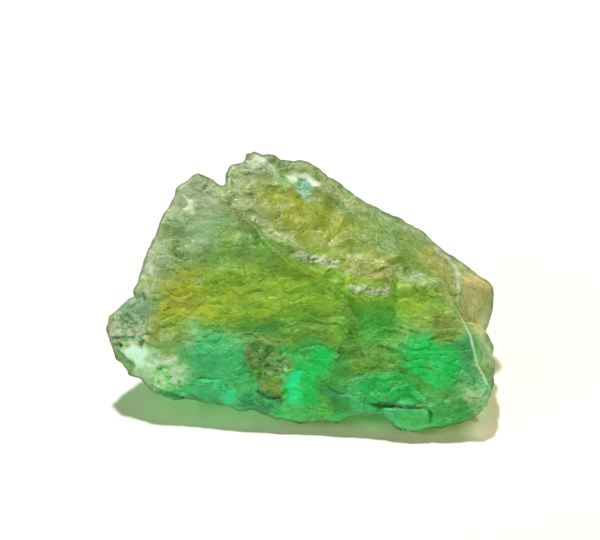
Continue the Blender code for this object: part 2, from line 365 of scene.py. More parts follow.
def distance_to_line(points, line):
    """How far each point is from a line of places in the view, in mm."""
    nearest = np.full(len(points), VERY_FAR)
    bends = [on_stone(*place) for place in line]
    for start, end in zip(bends, bends[1:]):
        along = end - start
        part = np.clip((points - start) @ along / (along @ along), 0.0, 1.0)
        gap = np.linalg.norm(points - start - part[:, None] * along, axis=1)
        nearest = np.minimum(nearest, gap)
    return nearest


def near_line(points, line, full, gone):
    """One beside the line, falling to nothing between the two distances, in mm."""
    return 1.0 - smooth_step(distance_to_line(points, line), full, gone)


print(len(SHADED_CREASES), "dark creases and", len(TEAL_EDGES), "teal edges")

# %% [markdown]
# ## How far each of them reaches
# Crumbly things use the frayed points, and clean arrises use the plain ones. The ledge keeps off the front
# face, where the same distance would run down over the clean break. The fainter lines get a share of full
# strength.

# %% Masks of the lines
REACH = {                                # in mm: full up to the first distance, gone at the second
    "rim_left": (0.14, 0.48),
    "rim_right": (0.12, 0.42),
    "band": (0.12, 0.46),
    "shelf": (0.3, 1.1),
    "lump": (0.4, 1.4),
    "streaks": (0.30, 0.60),
    "end_arris": (0.04, 0.19),
    "end_line": (0.05, 0.30),
    "slab_rim": (0.05, 0.35),
    "creases": (0.04, 0.22),
    "olive_ridge": (0.12, 0.42),
    "teal_edges": (0.05, 0.17),
}
BAND_OFF_FACE = 0.7                      # how much weaker the ledge is where it runs onto the front face
SHELF_OFF_FACE = 0.8
SHELF_SHARE = 0.7
LUMP_SHARE = 0.5
END_LINE_SHARE = 0.7
SLAB_RIM_SHARE = 0.3

rims = np.maximum(near_line(fray, LEDGE_RIM_LEFT, *REACH["rim_left"]),
                  near_line(fray, LEDGE_RIM_RIGHT, *REACH["rim_right"]))
band = near_line(fray, LEDGE_BAND, *REACH["band"]) * (1.0 - BAND_OFF_FACE * front)
shelf = near_line(fray, LEDGE_SHELF, *REACH["shelf"]) * SHELF_SHARE * (1.0 - SHELF_OFF_FACE * front)
shelf = np.maximum(shelf, near_line(frayed, LEDGE_LUMP, *REACH["lump"]) * LUMP_SHARE)
streaks = near_line(fray, STREAKS, *REACH["streaks"])
thin_rims = np.max([near_line(points, END_ARRIS, *REACH["end_arris"]),
                    END_LINE_SHARE * near_line(fray, END_LINE, *REACH["end_line"]),
                    SLAB_RIM_SHARE * near_line(fray, SLAB_RIM, *REACH["slab_rim"])], axis=0)
crease = np.max([near_line(points, line, *REACH["creases"]) for line in SHADED_CREASES], axis=0)
olive_ridge = near_line(fray, OLIVE_RIDGE, *REACH["olive_ridge"])
teal_edges = np.max([near_line(points, line, *REACH["teal_edges"]) for line in TEAL_EDGES], axis=0)
print("share of the skin in the rims %.3f, on the ledge %.3f" % (rims.mean(), shelf.mean()))

# %% [markdown]
# ## The palette
# Beryl runs from yellow-green to blue-green, milky where it is crushed and brown where dirt has got in. The
# tints are named once, as screen colours, and everything after this is mixed from them.

# %% Palette


def colour(red, green, blue):
    """A screen colour, 0 to 255, as the shader's linear values, by the standard curve of a screen."""
    def linear(level):
        level /= 255.0
        return level / 12.92 if level <= 0.04045 else ((level + 0.055) / 1.055) ** 2.4
    return (linear(red), linear(green), linear(blue), 1.0)


# milky white of crushed crystal and threads, also used for the painted highlights
MILK = colour(244, 248, 232)
# pale mint of the facet at the tip, brightened as a painted highlight
MINT_HIGHLIGHT = colour(222, 254, 234)
PALE_SAGE = colour(194, 204, 170)
SAGE = colour(168, 184, 134)
MIST = colour(190, 224, 186)
BEIGE = colour(226, 204, 136)
GREY_GREEN = colour(164, 186, 118)
GREY_TEAL = colour(124, 168, 136)
GREY_OLIVE = colour(126, 152, 92)
SOFT_GREEN = colour(160, 206, 102)
LIME = colour(158, 196, 46)
YELLOW = colour(198, 206, 48)
MUSTARD = colour(170, 176, 36)
OCHRE = colour(150, 152, 54)
MOSS = colour(124, 150, 50)
OLIVE = colour(98, 146, 30)
BROWN = colour(94, 96, 46)
TEAL = colour(68, 206, 134)
SEA_GREEN = colour(84, 216, 120)
GRASS = colour(88, 198, 84)
GREEN = colour(52, 178, 80)
# bright green and spark: the light let through the stone, painted in
LIT_EMERALD = colour(0, 210, 102)
SPARK = colour(16, 248, 174)
DEEP = colour(58, 146, 56)
DEEP_TEAL = colour(46, 146, 98)
BUFF = colour(188, 188, 132)
SAND = colour(184, 168, 92)
OCHRE_YELLOW = colour(186, 176, 58)
DARK_GREEN = colour(54, 112, 48)
BLUE_GREEN = colour(104, 188, 134)
TURQUOISE = colour(96, 176, 146)
PALE_CYAN = colour(206, 244, 230)
PALE_MINT = colour(218, 248, 212)
# bright green low on the front, the light let through painted in
LIT_LOW_EMERALD = colour(0, 184, 82)
SPRING_GREEN = colour(114, 170, 62)
# painted shade round the outer edge of the stone
EDGE_SHADE = colour(98, 84, 78)
MOTTLE_GREEN = colour(86, 190, 84)
MID_OLIVE = colour(90, 156, 44)
BELT_OLIVE = colour(104, 150, 44)
BAND_PALE = colour(190, 186, 140)
NET_PALE = colour(226, 222, 180)
RIM_DARK = colour(98, 124, 46)
RIM_PALE = colour(230, 234, 202)
BAR_PALE = colour(206, 216, 172)
# painted highlight along the arrises
ARRIS_HIGHLIGHT = colour(228, 240, 222)
EDGE_TEAL = colour(56, 150, 108)
print("the deepest green is", tuple(round(v, 3) for v in DEEP[:3]), "in linear light")

# %% [markdown]
# ## Stains, clear spots and inclusions
# Inside the stone, colour gathers in soft patches. Noise alone would put them anywhere, so each is an
# outline with its own tint, softness and strength, pointed at like the lines. A later row lies over an
# earlier one, as in a painting. First come the slab and the ledge: a mustard stain, green beside it, and
# pale edges.

# %% Patches of the slab and the ledge
# name, tint, softness of the outline in mm, strength, corners (squares across, squares down), clockwise
SLAB_PATCHES = [
    ("slab_green", MOSS, 0.35, 0.85,
     [(330, 190), (400, 215), (445, 252), (436, 286), (345, 262), (325, 225)]),
    ("slab_yellow", MUSTARD, 0.40, 0.90,
     [(251, 190), (285, 184), (330, 205), (352, 245), (345, 262), (305, 248), (268, 222)]),
    ("slab_beige", BUFF, 0.25, 0.45,
     [(235, 195), (254, 200), (288, 238), (298, 252), (262, 230), (240, 213)]),
    ("slab_teal", GREY_TEAL, 0.30, 0.50, [(378, 214), (396, 220), (398, 240), (382, 238)]),
    ("slab_pale_edge", BUFF, 0.20, 0.50, [(402, 226), (454, 262), (450, 267), (402, 233)]),
    ("slab_tail", SAND, 0.30, 0.75, [(424, 250), (446, 253), (468, 282), (468, 300), (450, 300), (430, 285)]),
    ("notch", GREY_OLIVE, 0.20, 0.90, [(210, 178), (236, 176), (240, 190), (218, 196)]),
    ("below_band", SPRING_GREEN, 0.25, 0.55, [(255, 230), (292, 252), (288, 264), (248, 242)]),
    ("upper_green", SPRING_GREEN, 0.50, 0.70, [(215, 228), (262, 234), (272, 262), (214, 260)]),
    ("streak_ground", MOSS, 0.25, 0.65, [(398, 266), (437, 266), (437, 291), (398, 285)]),
    ("back_edge", BUFF, 0.20, 0.60, [(322, 180), (345, 188), (374, 206), (366, 213), (338, 204), (322, 194)]),
    ("ledge_net", OCHRE_YELLOW, 0.25, 0.80,
     [(350, 258), (372, 252), (393, 262), (395, 279), (387, 284), (358, 283), (351, 276)]),
    ("net_brown", OCHRE, 0.25, 0.60, [(350, 262), (372, 264), (372, 278), (352, 278)]),
]
print(len(SLAB_PATCHES), "patches of the slab and the ledge")

# %% [markdown]
# ## The front face
# The broken face is yellow at the left, olive in its middle and bright emerald low on the right, with the
# light let through painted in. The big patches have soft outlines, so that the colours run into one another.

# %% Patches of the front face
FACE_PATCHES = [
    ("yellow_blob", YELLOW, 0.45, 0.75, [(158, 276), (198, 270), (206, 300), (192, 322), (164, 322)]),
    ("orange_core", SAND, 0.25, 0.60, [(174, 293), (188, 293), (188, 307), (175, 307)]),
    ("lime_strip", LIME, 0.40, 0.50, [(378, 293), (446, 296), (448, 308), (382, 306)]),
    ("right_ochre", OCHRE, 0.25, 0.70, [(424, 312), (455, 308), (463, 330), (440, 340), (424, 328)]),
    ("olive_belt", OLIVE, 0.40, 0.65, [(250, 322), (330, 318), (340, 345), (292, 347), (252, 338)]),
    ("brown_streak", OLIVE, 0.25, 0.85, [(337, 300), (352, 300), (354, 340), (340, 342)]),
    ("green_patch", GRASS, 0.55, 0.75, [(358, 307), (388, 304), (392, 335), (376, 346), (357, 338)]),
    ("olive_middle", OLIVE, 0.45, 0.60, [(346, 345), (392, 344), (402, 372), (360, 378), (346, 372)]),
    ("green_shade", DEEP, 0.30, 0.80, [(322, 350), (345, 348), (346, 392), (324, 390)]),
    # right_emerald and low_emerald: bright green with the light let through painted in
    ("right_emerald", LIT_EMERALD, 0.50, 0.95,
     [(406, 352), (430, 345), (453, 350), (457, 375), (442, 392), (418, 389), (402, 372)]),
    ("right_shade", DEEP_TEAL, 0.25, 0.80, [(456, 340), (472, 344), (475, 374), (459, 373)]),
    ("blue_corner", BLUE_GREEN, 0.22, 0.80, [(455, 377), (487, 374), (490, 398), (464, 400)]),
    ("low_emerald", LIT_LOW_EMERALD, 0.20, 0.85, [(358, 379), (395, 372), (418, 381), (418, 394), (364, 397)]),
    ("dark_seam", DEEP_TEAL, 0.30, 0.80, [(334, 384), (348, 384), (348, 409), (334, 409)]),
    ("smooth_teal", TEAL, 0.35, 0.65, [(186, 334), (244, 330), (247, 392), (204, 402), (184, 386)]),
    ("white_scribble", MIST, 0.20, 0.35, [(184, 325), (196, 325), (196, 344), (185, 344)]),
]
print(len(FACE_PATCHES), "patches of the front face")

# %% [markdown]
# ## The inclusion and the bright window
# A grey piece of the mother rock is caught low in the stone, with an olive band and a brown foot. Beside it
# is the clearest window of all, with the light let through painted in as a bright green glow, nearly blue at
# its lower end. These are small, so their outlines are harder.

# %% Patches of the inclusion and the glow
INCLUSION_PATCHES = [
    ("crown", DEEP, 0.30, 0.75, [(242, 320), (282, 318), (286, 338), (244, 339)]),
    ("grey_inclusion", GREY_OLIVE, 0.12, 0.75, [(248, 340), (288, 340), (288, 369), (248, 371)]),
    ("green_oval", DARK_GREEN, 0.10, 0.85, [(252, 341), (271, 343), (274, 356), (255, 356)]),
    ("brown_specks", BROWN, 0.12, 0.60, [(247, 347), (255, 347), (256, 371), (248, 371)]),
    ("olive_band", OLIVE, 0.10, 0.90, [(255, 368), (286, 368), (286, 382), (257, 381)]),
    ("ochre_blob", OCHRE, 0.10, 0.90, [(259, 381), (285, 381), (285, 391), (275, 397), (263, 395)]),
    ("dark_rim", DARK_GREEN, 0.07, 0.80, [(257, 392), (286, 392), (284, 400), (262, 400)]),
    # the glow patches are painted light: light let through the stone, painted into its colour
    ("glow", LIT_EMERALD, 0.30, 1.00, [(287, 350), (310, 344), (325, 360), (324, 388), (304, 398), (287, 398)]),
    ("glow_head", GREEN, 0.15, 0.70, [(288, 342), (312, 340), (318, 356), (290, 358)]),
    ("glow_column", LIT_EMERALD, 0.20, 0.90, [(286, 354), (302, 356), (303, 398), (286, 398)]),
    ("glow_spark", SPARK, 0.22, 0.95, [(286, 368), (300, 370), (303, 403), (286, 403)]),
]
print(len(INCLUSION_PATCHES), "patches of the inclusion and the glow")

# %% [markdown]
# ## The foot
# Along the table the stone ends in rounded lobes of sea green, with darker seams between them.

# %% Patches of the foot
FOOT_PATCHES = [
    ("lobe_left", SEA_GREEN, 0.20, 0.90, [(272, 398), (302, 398), (300, 421), (281, 419)]),
    ("lobe_middle", GRASS, 0.20, 0.85, [(303, 397), (330, 395), (332, 412), (318, 421), (302, 421)]),
    ("dark_foot", DEEP_TEAL, 0.20, 0.85, [(238, 390), (273, 392), (272, 409), (244, 411)]),
    # sparkle: painted glints
    ("sparkle", SPARK, 0.10, 0.85, [(222, 392), (239, 392), (237, 405), (224, 405)]),
    ("olive_low", DEEP, 0.25, 0.60, [(323, 403), (346, 403), (346, 418), (325, 419)]),
    # crease_ground is painted shade along the crease by the table
    ("crease_ground", DEEP, 0.20, 0.60, [(372, 398), (428, 400), (428, 411), (374, 410)]),
    ("end_shade", GREY_OLIVE, 0.15, 0.50, [(481, 366), (491, 364), (491, 384), (482, 388)]),
    ("lobe_right", SEA_GREEN, 0.10, 0.85, [(396, 412), (429, 410), (428, 430), (404, 430)]),
    ("lobe_end", GREEN, 0.20, 0.85, [(431, 404), (472, 402), (466, 421), (432, 426)]),
    ("pale_end", PALE_SAGE, 0.20, 0.50, [(469, 398), (490, 394), (486, 408), (469, 417)]),
]
print(len(FOOT_PATCHES), "patches of the foot")

# %% [markdown]
# ## The left tip
# The tip ends in one clean facet, painted almost white with a breath of mint, with a painted highlight where
# it catches the light. Around it the skin is crushed, speckled and a little stained, and two small painted
# highlights sit higher up, like chips that catch the light.

# %% Patches of the left tip
TIP_PATCHES = [
    ("tip_teal", GREY_TEAL, 0.25, 0.75, [(122, 296), (160, 298), (158, 324), (125, 326)]),
    ("tip_white", MILK, 0.12, 0.60, [(116, 326), (128, 326), (129, 337), (117, 337)]),
    ("below_mint", MIST, 0.12, 0.70, [(133, 368), (152, 368), (155, 386), (140, 385)]),
    ("speckle", PALE_MINT, 0.25, 0.90, [(149, 356), (184, 352), (187, 385), (158, 389)]),
    ("olive_left", SOFT_GREEN, 0.25, 0.65, [(148, 340), (183, 338), (184, 354), (150, 357)]),
    ("ochre_spot", OCHRE, 0.12, 0.80, [(149, 327), (161, 327), (161, 341), (150, 341)]),
    # glint and low_glint are painted highlights
    ("glint", MILK, 0.08, 0.95, [(146, 261), (154, 261), (154, 273), (145, 273)]),
    ("low_glint", MILK, 0.06, 0.80, [(143, 277), (150, 277), (149, 282), (142, 282)]),
    # mint: the facet's pale colour with a painted highlight over it
    ("mint", MINT_HIGHLIGHT, 0.14, 1.00,
     [(123, 346), (130, 344), (145, 343), (148, 352), (146, 366), (137, 369), (126, 356)]),
]
print(len(TIP_PATCHES), "patches of the left tip")

# %% [markdown]
# ## The top edge
# Crumbs of white quartz sit on the two peaks, with a painted highlight near the left one, and a white spot
# with a turquoise eye lies under the back edge.

# %% Patches of the top edge
TOP_PATCHES = [
    # peak_glint is a painted highlight
    ("peak_glint", MILK, 0.12, 0.90, [(186, 199), (199, 201), (197, 214), (184, 212)]),
    ("crumb_a", MILK, 0.12, 0.90, [(246, 157), (262, 154), (268, 163), (256, 168)]),
    ("crumb_b", MILK, 0.12, 1.00, [(260, 162), (274, 160), (277, 170), (263, 174)]),
    ("pale_spot", BUFF, 0.12, 0.60, [(320, 185), (336, 189), (334, 197), (322, 195)]),
    ("white", MILK, 0.12, 1.00, [(289, 171), (305, 170), (324, 181), (319, 187), (304, 184), (291, 178)]),
    ("turquoise", TURQUOISE, 0.10, 0.85, [(292, 180), (312, 182), (311, 191), (296, 190)]),
    ("cyan_spot", PALE_CYAN, 0.08, 0.90, [(299, 189), (309, 190), (308, 198), (301, 197)]),
]
print(len(TOP_PATCHES), "patches of the top edge")

# %% [markdown]
# ## Painting the patches
# A patch is laid flat on the plane of the front face, where a square of the view is 0.06 mm wide, and it
# reaches through to whatever part of the front lies behind that place. Frayed points give small patches a
# crumbly edge, and bent points break up the outlines of the big ones.

# %% Painted patches
PATCHES = SLAB_PATCHES + FACE_PATCHES + INCLUSION_PATCHES + FOOT_PATCHES + TIP_PATCHES + TOP_PATCHES
UP_THE_FACE = np.array((0.0, 0.6, 0.8))
# these include the painted highlights, broken up by the sparkle
SPARKLING = ("crumb_a", "crumb_b", "peak_glint", "glint", "low_glint", "speckle", "cyan_spot")
BROAD = 0.2                              # mm: from this softness up, a patch is bent over a wide reach
BROAD_SPREAD = 1.8                       # an outline fades out within this many times its softness
SMALL_SPREAD = 1.4
LEAST_COVER = 0.001                      # keeps bare points from being divided by nothing
SPARKLE_CELLS = (0.26, 0.26, 0.26)       # mm
SPARKLE_LEAST = 0.40


def on_face(across, down):
    """A place in the view, as millimetres to the right and millimetres up the front face."""
    square = SQUARE_AT_ONE * CAMERA_AWAY / MM
    middle = np.array(LOOK_AT) / MM
    return np.array((middle[0] + (across - MIDDLE_ACROSS) * square,
                     middle @ UP_THE_FACE - (down - MIDDLE_DOWN) * square))


def inside_outline(points, corners, soft):
    """One inside a convex outline laid on the plane of the front face, nothing outside it."""
    flat = np.stack((points[:, 0], points @ UP_THE_FACE), axis=1)
    ring = [on_face(*corner) for corner in corners]
    depth = np.full(len(points), VERY_FAR)
    for start, end in zip(ring, ring[1:] + ring[:1]):
        side = end - start
        inward = np.array((side[1], -side[0])) / np.linalg.norm(side)
        depth = np.minimum(depth, (flat - start) @ inward)
    return smooth_step(depth, -soft, soft)


def paint_patches(patches, sparkle):
    """Lay the patches over one another.

    Gives the mixed tint, how much of it there is, and each patch's own mask.
    """
    paint = np.zeros((len(points), 3))
    cover = np.zeros(len(points))
    masks = {}
    for name, tint, soft, strength, corners in patches:
        if soft >= BROAD:
            mask = inside_outline(bent, corners, soft * BROAD_SPREAD) * seen
        else:
            mask = inside_outline(frayed, corners, soft * SMALL_SPREAD) * seen
        if name in SPARKLING:
            mask *= sparkle
        masks[name] = mask
        mask = mask * strength
        paint = paint * (1.0 - mask)[:, None] + np.array(tint[:3]) * mask[:, None]
        cover = cover * (1.0 - mask) + mask
    return paint / np.maximum(cover, LEAST_COVER)[:, None], cover, masks


crumbly = smooth_step(noise_at(points, SPARKLE_CELLS, (1.0, 2.0, 7.0)), -0.30, 0.0)
sparkle = SPARKLE_LEAST + (1.0 - SPARKLE_LEAST) * crumbly
paint, cover, patch_masks = paint_patches(PATCHES, sparkle)
print(len(PATCHES), "patches, covering %.2f of the skin" % cover.mean())

# %% [markdown]
# ## Places that glow, speckle or are scribbled over
# The bright window gets a little more glow than its surroundings, painted light for the light let through it,
# and the painted highlights, white spots and speckle get extra glow too.
# Crushed places are speckled, and the upper left and the tip are crossed by fine milky threads. These are
# masks again: round ones for the spots, and one slope for the threads, strongest near the left peak.

# %% Masks of the spots
SPECKLED = [                             # middle and reach, in mm, of the places with the strongest speckle
    ((-8.1, -4.3, 3.1), (1.5, 2.4, 1.2)),
    ((-2.0, -4.3, 3.6), (1.6, 2.2, 1.2)),
    ((-10.6, -2.6, 4.6), (1.6, 2.4, 1.4)),
]
SPECKLED_CORE = 0.6
# the bright window, whose extra glow is painted light
GLOW_SPOT = ((0.1, -5.0, 3.1), (1.1, 1.8, 1.3))
GLOW_SPOT_CORE = 0.3
GLOW_SPOT_SHARE = 0.5
GLOWING = {                              # patches given extra glow as painted light, and how strong it is
    "mint": 1.15, "white": 1.15, "peak_glint": 0.9, "glow_spark": 0.40,
    "crumb_a": 0.3, "crumb_b": 0.6, "speckle": 0.35,
}
LEFT_PEAK = -6.5                         # mm along x: where the left peak stands
PEAK_SLOPE = 0.55                        # mm: how much higher the threads begin for each mm away from it
RIGHT_OF_PEAK = -3.0                     # mm along x: from here to the right they reach lower again
RIGHT_SLOPE = 0.9
THREADED_HEIGHT = (5.0, 8.0)             # mm: threads begin at the first, and are full at the second
THREADS_END_ON_FACE = (-4.0, -1.0)       # mm along x: on the front face they fade out between the two
THREADS_END = (-3.5, -0.5)               # mm along x: and everywhere they fade to a little
SPECKLED_TIP = -6.0                      # mm along x: the speckle left of this is threaded too


def round_spot(points, middle, reach, core):
    """One in the core of an egg-shaped spot, nothing from its reach outwards."""
    return 1.0 - smooth_step(np.linalg.norm((points - middle) / reach, axis=1), core, 1.0)


speckled = np.max([round_spot(points, middle, reach, SPECKLED_CORE) for middle, reach in SPECKLED], axis=0)
lit = np.max([GLOW_SPOT_SHARE * round_spot(fray, *GLOW_SPOT, GLOW_SPOT_CORE)]
             + [share * patch_masks[name] for name, share in GLOWING.items()], axis=0)
rightwards = points[:, 0]
near_peak = (points[:, 2] - PEAK_SLOPE * np.abs(rightwards - LEFT_PEAK)
             + RIGHT_SLOPE * np.maximum(rightwards - RIGHT_OF_PEAK, 0.0))
scribbled = smooth_step(near_peak, *THREADED_HEIGHT)
scribbled *= 1.0 - front * smooth_step(rightwards, *THREADS_END_ON_FACE)
scribbled *= (1.0 - 0.85 * smooth_step(rightwards, *THREADS_END)) * (1.0 - 0.5 * front)
scribbled = np.maximum(scribbled, speckled * (rightwards < SPECKLED_TIP))
print("glowing %.3f, speckled %.3f, scribbled %.3f" % (lit.mean(), speckled.mean(), scribbled.mean()))

# %% [markdown]
# ## Scales on the front face
# Beryl breaks in small shell-like scales that lie over one another, wider than they are tall, each with a
# thin arris at its foot. Voronoi cells give the scales: the cell's own height swells it out, and where the
# cell above ends there is a step down. The arris is kept for a painted highlight and the step for painted
# shade. The points are swayed first, so no row of scales runs straight.

# %% Scales
OWN_HEIGHT = 7.3                         # spreads the cells out, so that each one draws a height of its own
ARRIS_WIDTH = 0.16                       # as a share of a cell
STEP_WIDTH = 0.30
SWAY_CELLS = (1.4, 1.4, 1.1)             # mm, across each axis
SWAY = (0.9, 0.9, 0.45)                  # mm
ROWS_CLIMB = 0.10                        # mm up for each mm to the right of the middle
SWELL = (2.6, 2.6, 0.9)                  # mm
BIG_SCALE = (1.7, 1.7, 0.52)             # mm
SMALL_SCALE = (0.85, 0.85, 0.30)         # mm


def scales_at(points, across, shift=(0.0, 0.0, 0.0)):
    """Overlapping scales.

    Gives how far each one swells out, the thin arris at its foot and the step below that, the last two as
    masks for a painted highlight and painted shade.
    """
    swell, arris, step = np.zeros((3, len(points)))
    scaled = points / np.array(across) + np.array(shift)
    for n, row in enumerate(scaled):
        gaps, middles = noise.voronoi(Vector(row))
        mine = noise.cell(middles[0] * OWN_HEIGHT)
        other = noise.cell(middles[1] * OWN_HEIGHT)
        low = middles[0].z - row[2]
        high = middles[1].z - row[2]
        edge = gaps[1] - gaps[0]
        swell[n] = mine * min(1.0, max(0.0, 0.5 + low))
        arris[n] = mine * max(0.0, 1.0 - edge / ARRIS_WIDTH) * min(1.0, max(0.0, 4.0 * low))
        step[n] = other * max(0.0, 1.0 - edge / STEP_WIDTH) * min(1.0, max(0.0, 3.0 * high)) * (low < 0.10)
    return swell, arris, step


sway = push_at(points, SWAY_CELLS, ((0, 0, 0), (9, 2, 5), (4, 7, 1)))
wavy = points + sway * SWAY
wavy[:, 2] += ROWS_CLIMB * np.maximum(points[:, 0], 0.0)
swell = noise_at(wavy, SWELL, (1.0, 5.0, 2.0))
big_scales, big_arris_highlight, big_step_shade = scales_at(wavy, BIG_SCALE)
small_scales, small_arris_highlight, small_step_shade = scales_at(wavy, SMALL_SCALE, (5.0, 2.0, 9.0))
print("big scales swell by %.2f on average, small ones by %.2f" % (big_scales.mean(), small_scales.mean()))

# %% [markdown]
# ## The rough break
# The slab, the ends and the back broke the other way, into chips and crumbs with no direction. The distance
# to the nearest Voronoi point gives round hollows with sharp crests between them, at three sizes, and a
# very fine grain lies over everything.

# %% Chips, crumbs and grain
CHIP = (1.5, 1.5, 1.5)                   # mm, like the three below
CRUMB = (0.46, 0.46, 0.46)
LUMP = (0.42, 0.42, 0.42)
GRAIN = (0.22, 0.22, 0.22)
CHIP_SWAY = 0.4                          # mm


def scoops_at(points, across, shift=(0.0, 0.0, 0.0)):
    """Zero in the middle of each shell-shaped hollow, about one on the sharp crests between them."""
    scaled = points / np.array(across) + np.array(shift)
    return np.array([noise.noise(Vector(row), noise_basis="VORONOI_F1") for row in scaled])


chips = scoops_at(points + sway * CHIP_SWAY, CHIP, (3.0, 9.0, 4.0))
crumbs = scoops_at(wavy, CRUMB, (5.0, 1.0, 8.0))
lumps = scoops_at(fray, LUMP, (2.0, 3.0, 4.0))
grain = noise_at(points, GRAIN, (2.0, 6.0, 3.0))
print("chips %.2f, crumbs %.2f, lumps %.2f" % (chips.mean(), crumbs.mean(), lumps.mean()))

# %% [markdown]
# ## All the relief together
# Every part of the relief is a height in millimetres along the normal, so the parts simply add up. The
# clear facets stay flat, the scales fade towards the top and come and go in quiet and lively places, the
# ledge gets its lumps and the creases are cut in. A few stretches of the rim were left lean by the solid,
# and are filled out.

# %% Relief
HEIGHT = {                               # mm
    "big_scales": 0.09, "small_scales": 0.05, "swell": 0.05, "chips": 0.02, "crumbs": 0.025,
    "grain": 0.008, "ledge": 0.11, "arris": 0.05, "crease": 0.09,
}
TYPICAL_SCOOP = 0.42                     # what the hollows of the rough break come to on average
TYPICAL_LUMP = 0.45
BARE_LIFT = 0.03                         # mm, gives back what the smoothing took off
LEDGE_LIFT = 0.01                        # mm
QUIET_CELLS = (1.8, 1.8, 1.3)            # mm
QUIET = (-0.30, 0.30)                    # noise: lively below the first, quiet above the second
CALMER_TOP = (7.5, 9.5)                  # mm up: the big scales grow lower between the two
FULLER_REACH = (0.3, 2.2)                # mm, as for the lines
FULLER = [                               # where the solid is lean, and how many mm are added
    ([(312, 170), (326, 180), (340, 190), (354, 200), (371, 210)], 0.26),
    ([(395, 221), (415, 230)], 0.12),
    ([(145, 270), (138, 290), (130, 300), (122, 311)], 0.20),
    ([(178, 191), (172, 212)], 0.12),
    ([(482, 346), (487, 346)], 0.22),
]

quiet = smooth_step(noise_at(points, QUIET_CELLS, (4.0, 4.0, 4.0)), *QUIET)
bold = 1.0 - 0.6 * smooth_step(points[:, 2], *CALMER_TOP)
relief = front * (big_scales * HEIGHT["big_scales"] * bold * (0.3 + 0.7 * quiet)
                  + small_scales * HEIGHT["small_scales"] * (1.0 - 0.4 * quiet) + swell * HEIGHT["swell"])
relief += (1.0 - front) * ((chips - TYPICAL_SCOOP) * HEIGHT["chips"]
                           + (crumbs - TYPICAL_SCOOP) * HEIGHT["crumbs"])
relief += grain * HEIGHT["grain"]
relief *= 1.0 - np.maximum(patch_masks["mint"], 0.7 * patch_masks["white"])
relief += BARE_LIFT
for line, amount in FULLER:
    relief += amount * near_line(points, line, *FULLER_REACH)
crushed = np.maximum(rims, 0.7 * band + 0.6 * shelf)
relief += crushed * ((TYPICAL_LUMP - lumps) * HEIGHT["ledge"] + LEDGE_LIFT)
relief += thin_rims * HEIGHT["arris"]
relief -= crease * HEIGHT["crease"]
print("relief from %.3f to %.3f mm, mean %.3f" % (relief.min(), relief.max(), relief.mean()))

# %% [markdown]
# ## How far in from the outer edge
# The stone is painted darker along its outer edge, as painted shade round its outline. To find that edge, the
# points are laid flat on the plane of the front face and counted into small squares, and the filled squares
# are peeled away one ring after another: the ring a point goes with is its depth. It is the outline of the
# stone as laid flat on the plane of the front face.

# %% Blur, and depth from the edge
PEEL_CELL = 0.05                         # mm, the side of one of the small squares
MARGIN = 3                               # empty squares kept round the stone
GAPS_CLOSED = 2                          # squares
PEELED = 14                              # rings


def blur(values, edges, times):
    """Average each vertex's values with its neighbours', over and over."""
    count = len(values)
    starts = np.concatenate((edges[:, 0], edges[:, 1]))
    ends = np.concatenate((edges[:, 1], edges[:, 0]))
    valence = np.bincount(starts, minlength=count).astype(float)
    values = values.copy()
    for _ in range(times):
        for axis in range(values.shape[1]):
            total = np.bincount(starts, weights=values[ends, axis], minlength=count)
            values[:, axis] = 0.5 * values[:, axis] + 0.5 * total / valence
    return values


def shrunk(cells):
    """The filled cells whose neighbours on all four sides are filled too."""
    inner = cells.copy()
    for axis in (0, 1):
        for step in (-1, 1):
            inner &= np.roll(cells, step, axis)
    return inner


def depth_from_edge(points, cell, steps):
    """How far in from the stone's outer edge each point lies, in mm, as laid flat on the front face's plane.

    Gaps between the points are closed first, by growing the filled squares and shrinking them again.
    """
    across = np.cross(FACE_NORMAL, (0.0, 0.0, 1.0))
    across /= np.linalg.norm(across)
    up = np.cross(across, FACE_NORMAL)
    flat = np.stack((points @ across, points @ up), axis=1)
    spots = ((flat - flat.min(axis=0)) / cell).astype(int) + MARGIN
    cells = np.zeros(spots.max(axis=0) + MARGIN + 1, dtype=bool)
    cells[spots[:, 0], spots[:, 1]] = True
    for _ in range(GAPS_CLOSED):
        cells = ~shrunk(~cells)
    for _ in range(GAPS_CLOSED):
        cells = shrunk(cells)
    depth = np.zeros(cells.shape)
    for _ in range(steps):
        cells = shrunk(cells)
        depth += cells
    return depth[spots[:, 0], spots[:, 1]] * cell


inner_depth = depth_from_edge(points, PEEL_CELL, PEELED)
print("depth found down to %.2f mm, mean %.2f mm" % (inner_depth.max(), inner_depth.mean()))

# %% [markdown]
# ## Move the skin
# The solid's coarse lumps on the slab throw shadows that the real slab doesn't have, so away from the edge
# it is calmed towards its own blur. Then the relief is added, and the result is kept inside the solid's own
# box.

# %% Moved skin
CALM = 0.90
CALM_DEPTH = (0.15, 0.60)                # mm in from the edge: none at the first, all at the second
CALM_BLUR = 120                          # rounds
INSIDE = 0.002                           # mm, kept clear of the box

calm = CALM * (1.0 - front) * smooth_step(inner_depth, *CALM_DEPTH) * seen
moved = points + normals * relief[:, None] + (blur(points, edges, CALM_BLUR) - points) * calm[:, None]
moved = np.clip(moved, np.array(cad_box[0]) / MM + INSIDE, np.array(cad_box[1]) / MM - INSIDE)
stone.data.vertices.foreach_set("co", (moved * MM).ravel())
stone.data.update()
print("skin moved by up to %.2f mm" % np.linalg.norm(moved - points, axis=1).max())

# %% [markdown]
# ## What the colours will need
# Thin crests are painted lighter and hollows darker, as painted highlight and painted shade. Both are read
# off the finished skin, as how far a vertex stands above or below its blurred surroundings. With the scales'
# arrises and steps for more painted highlight and shade, the painted shade of the outer edge and all the
# masks, they are kept on the mesh as named fields, which the material reads. An image would need
# unwrapping; a field needs nothing, and it survives the thinning that follows.

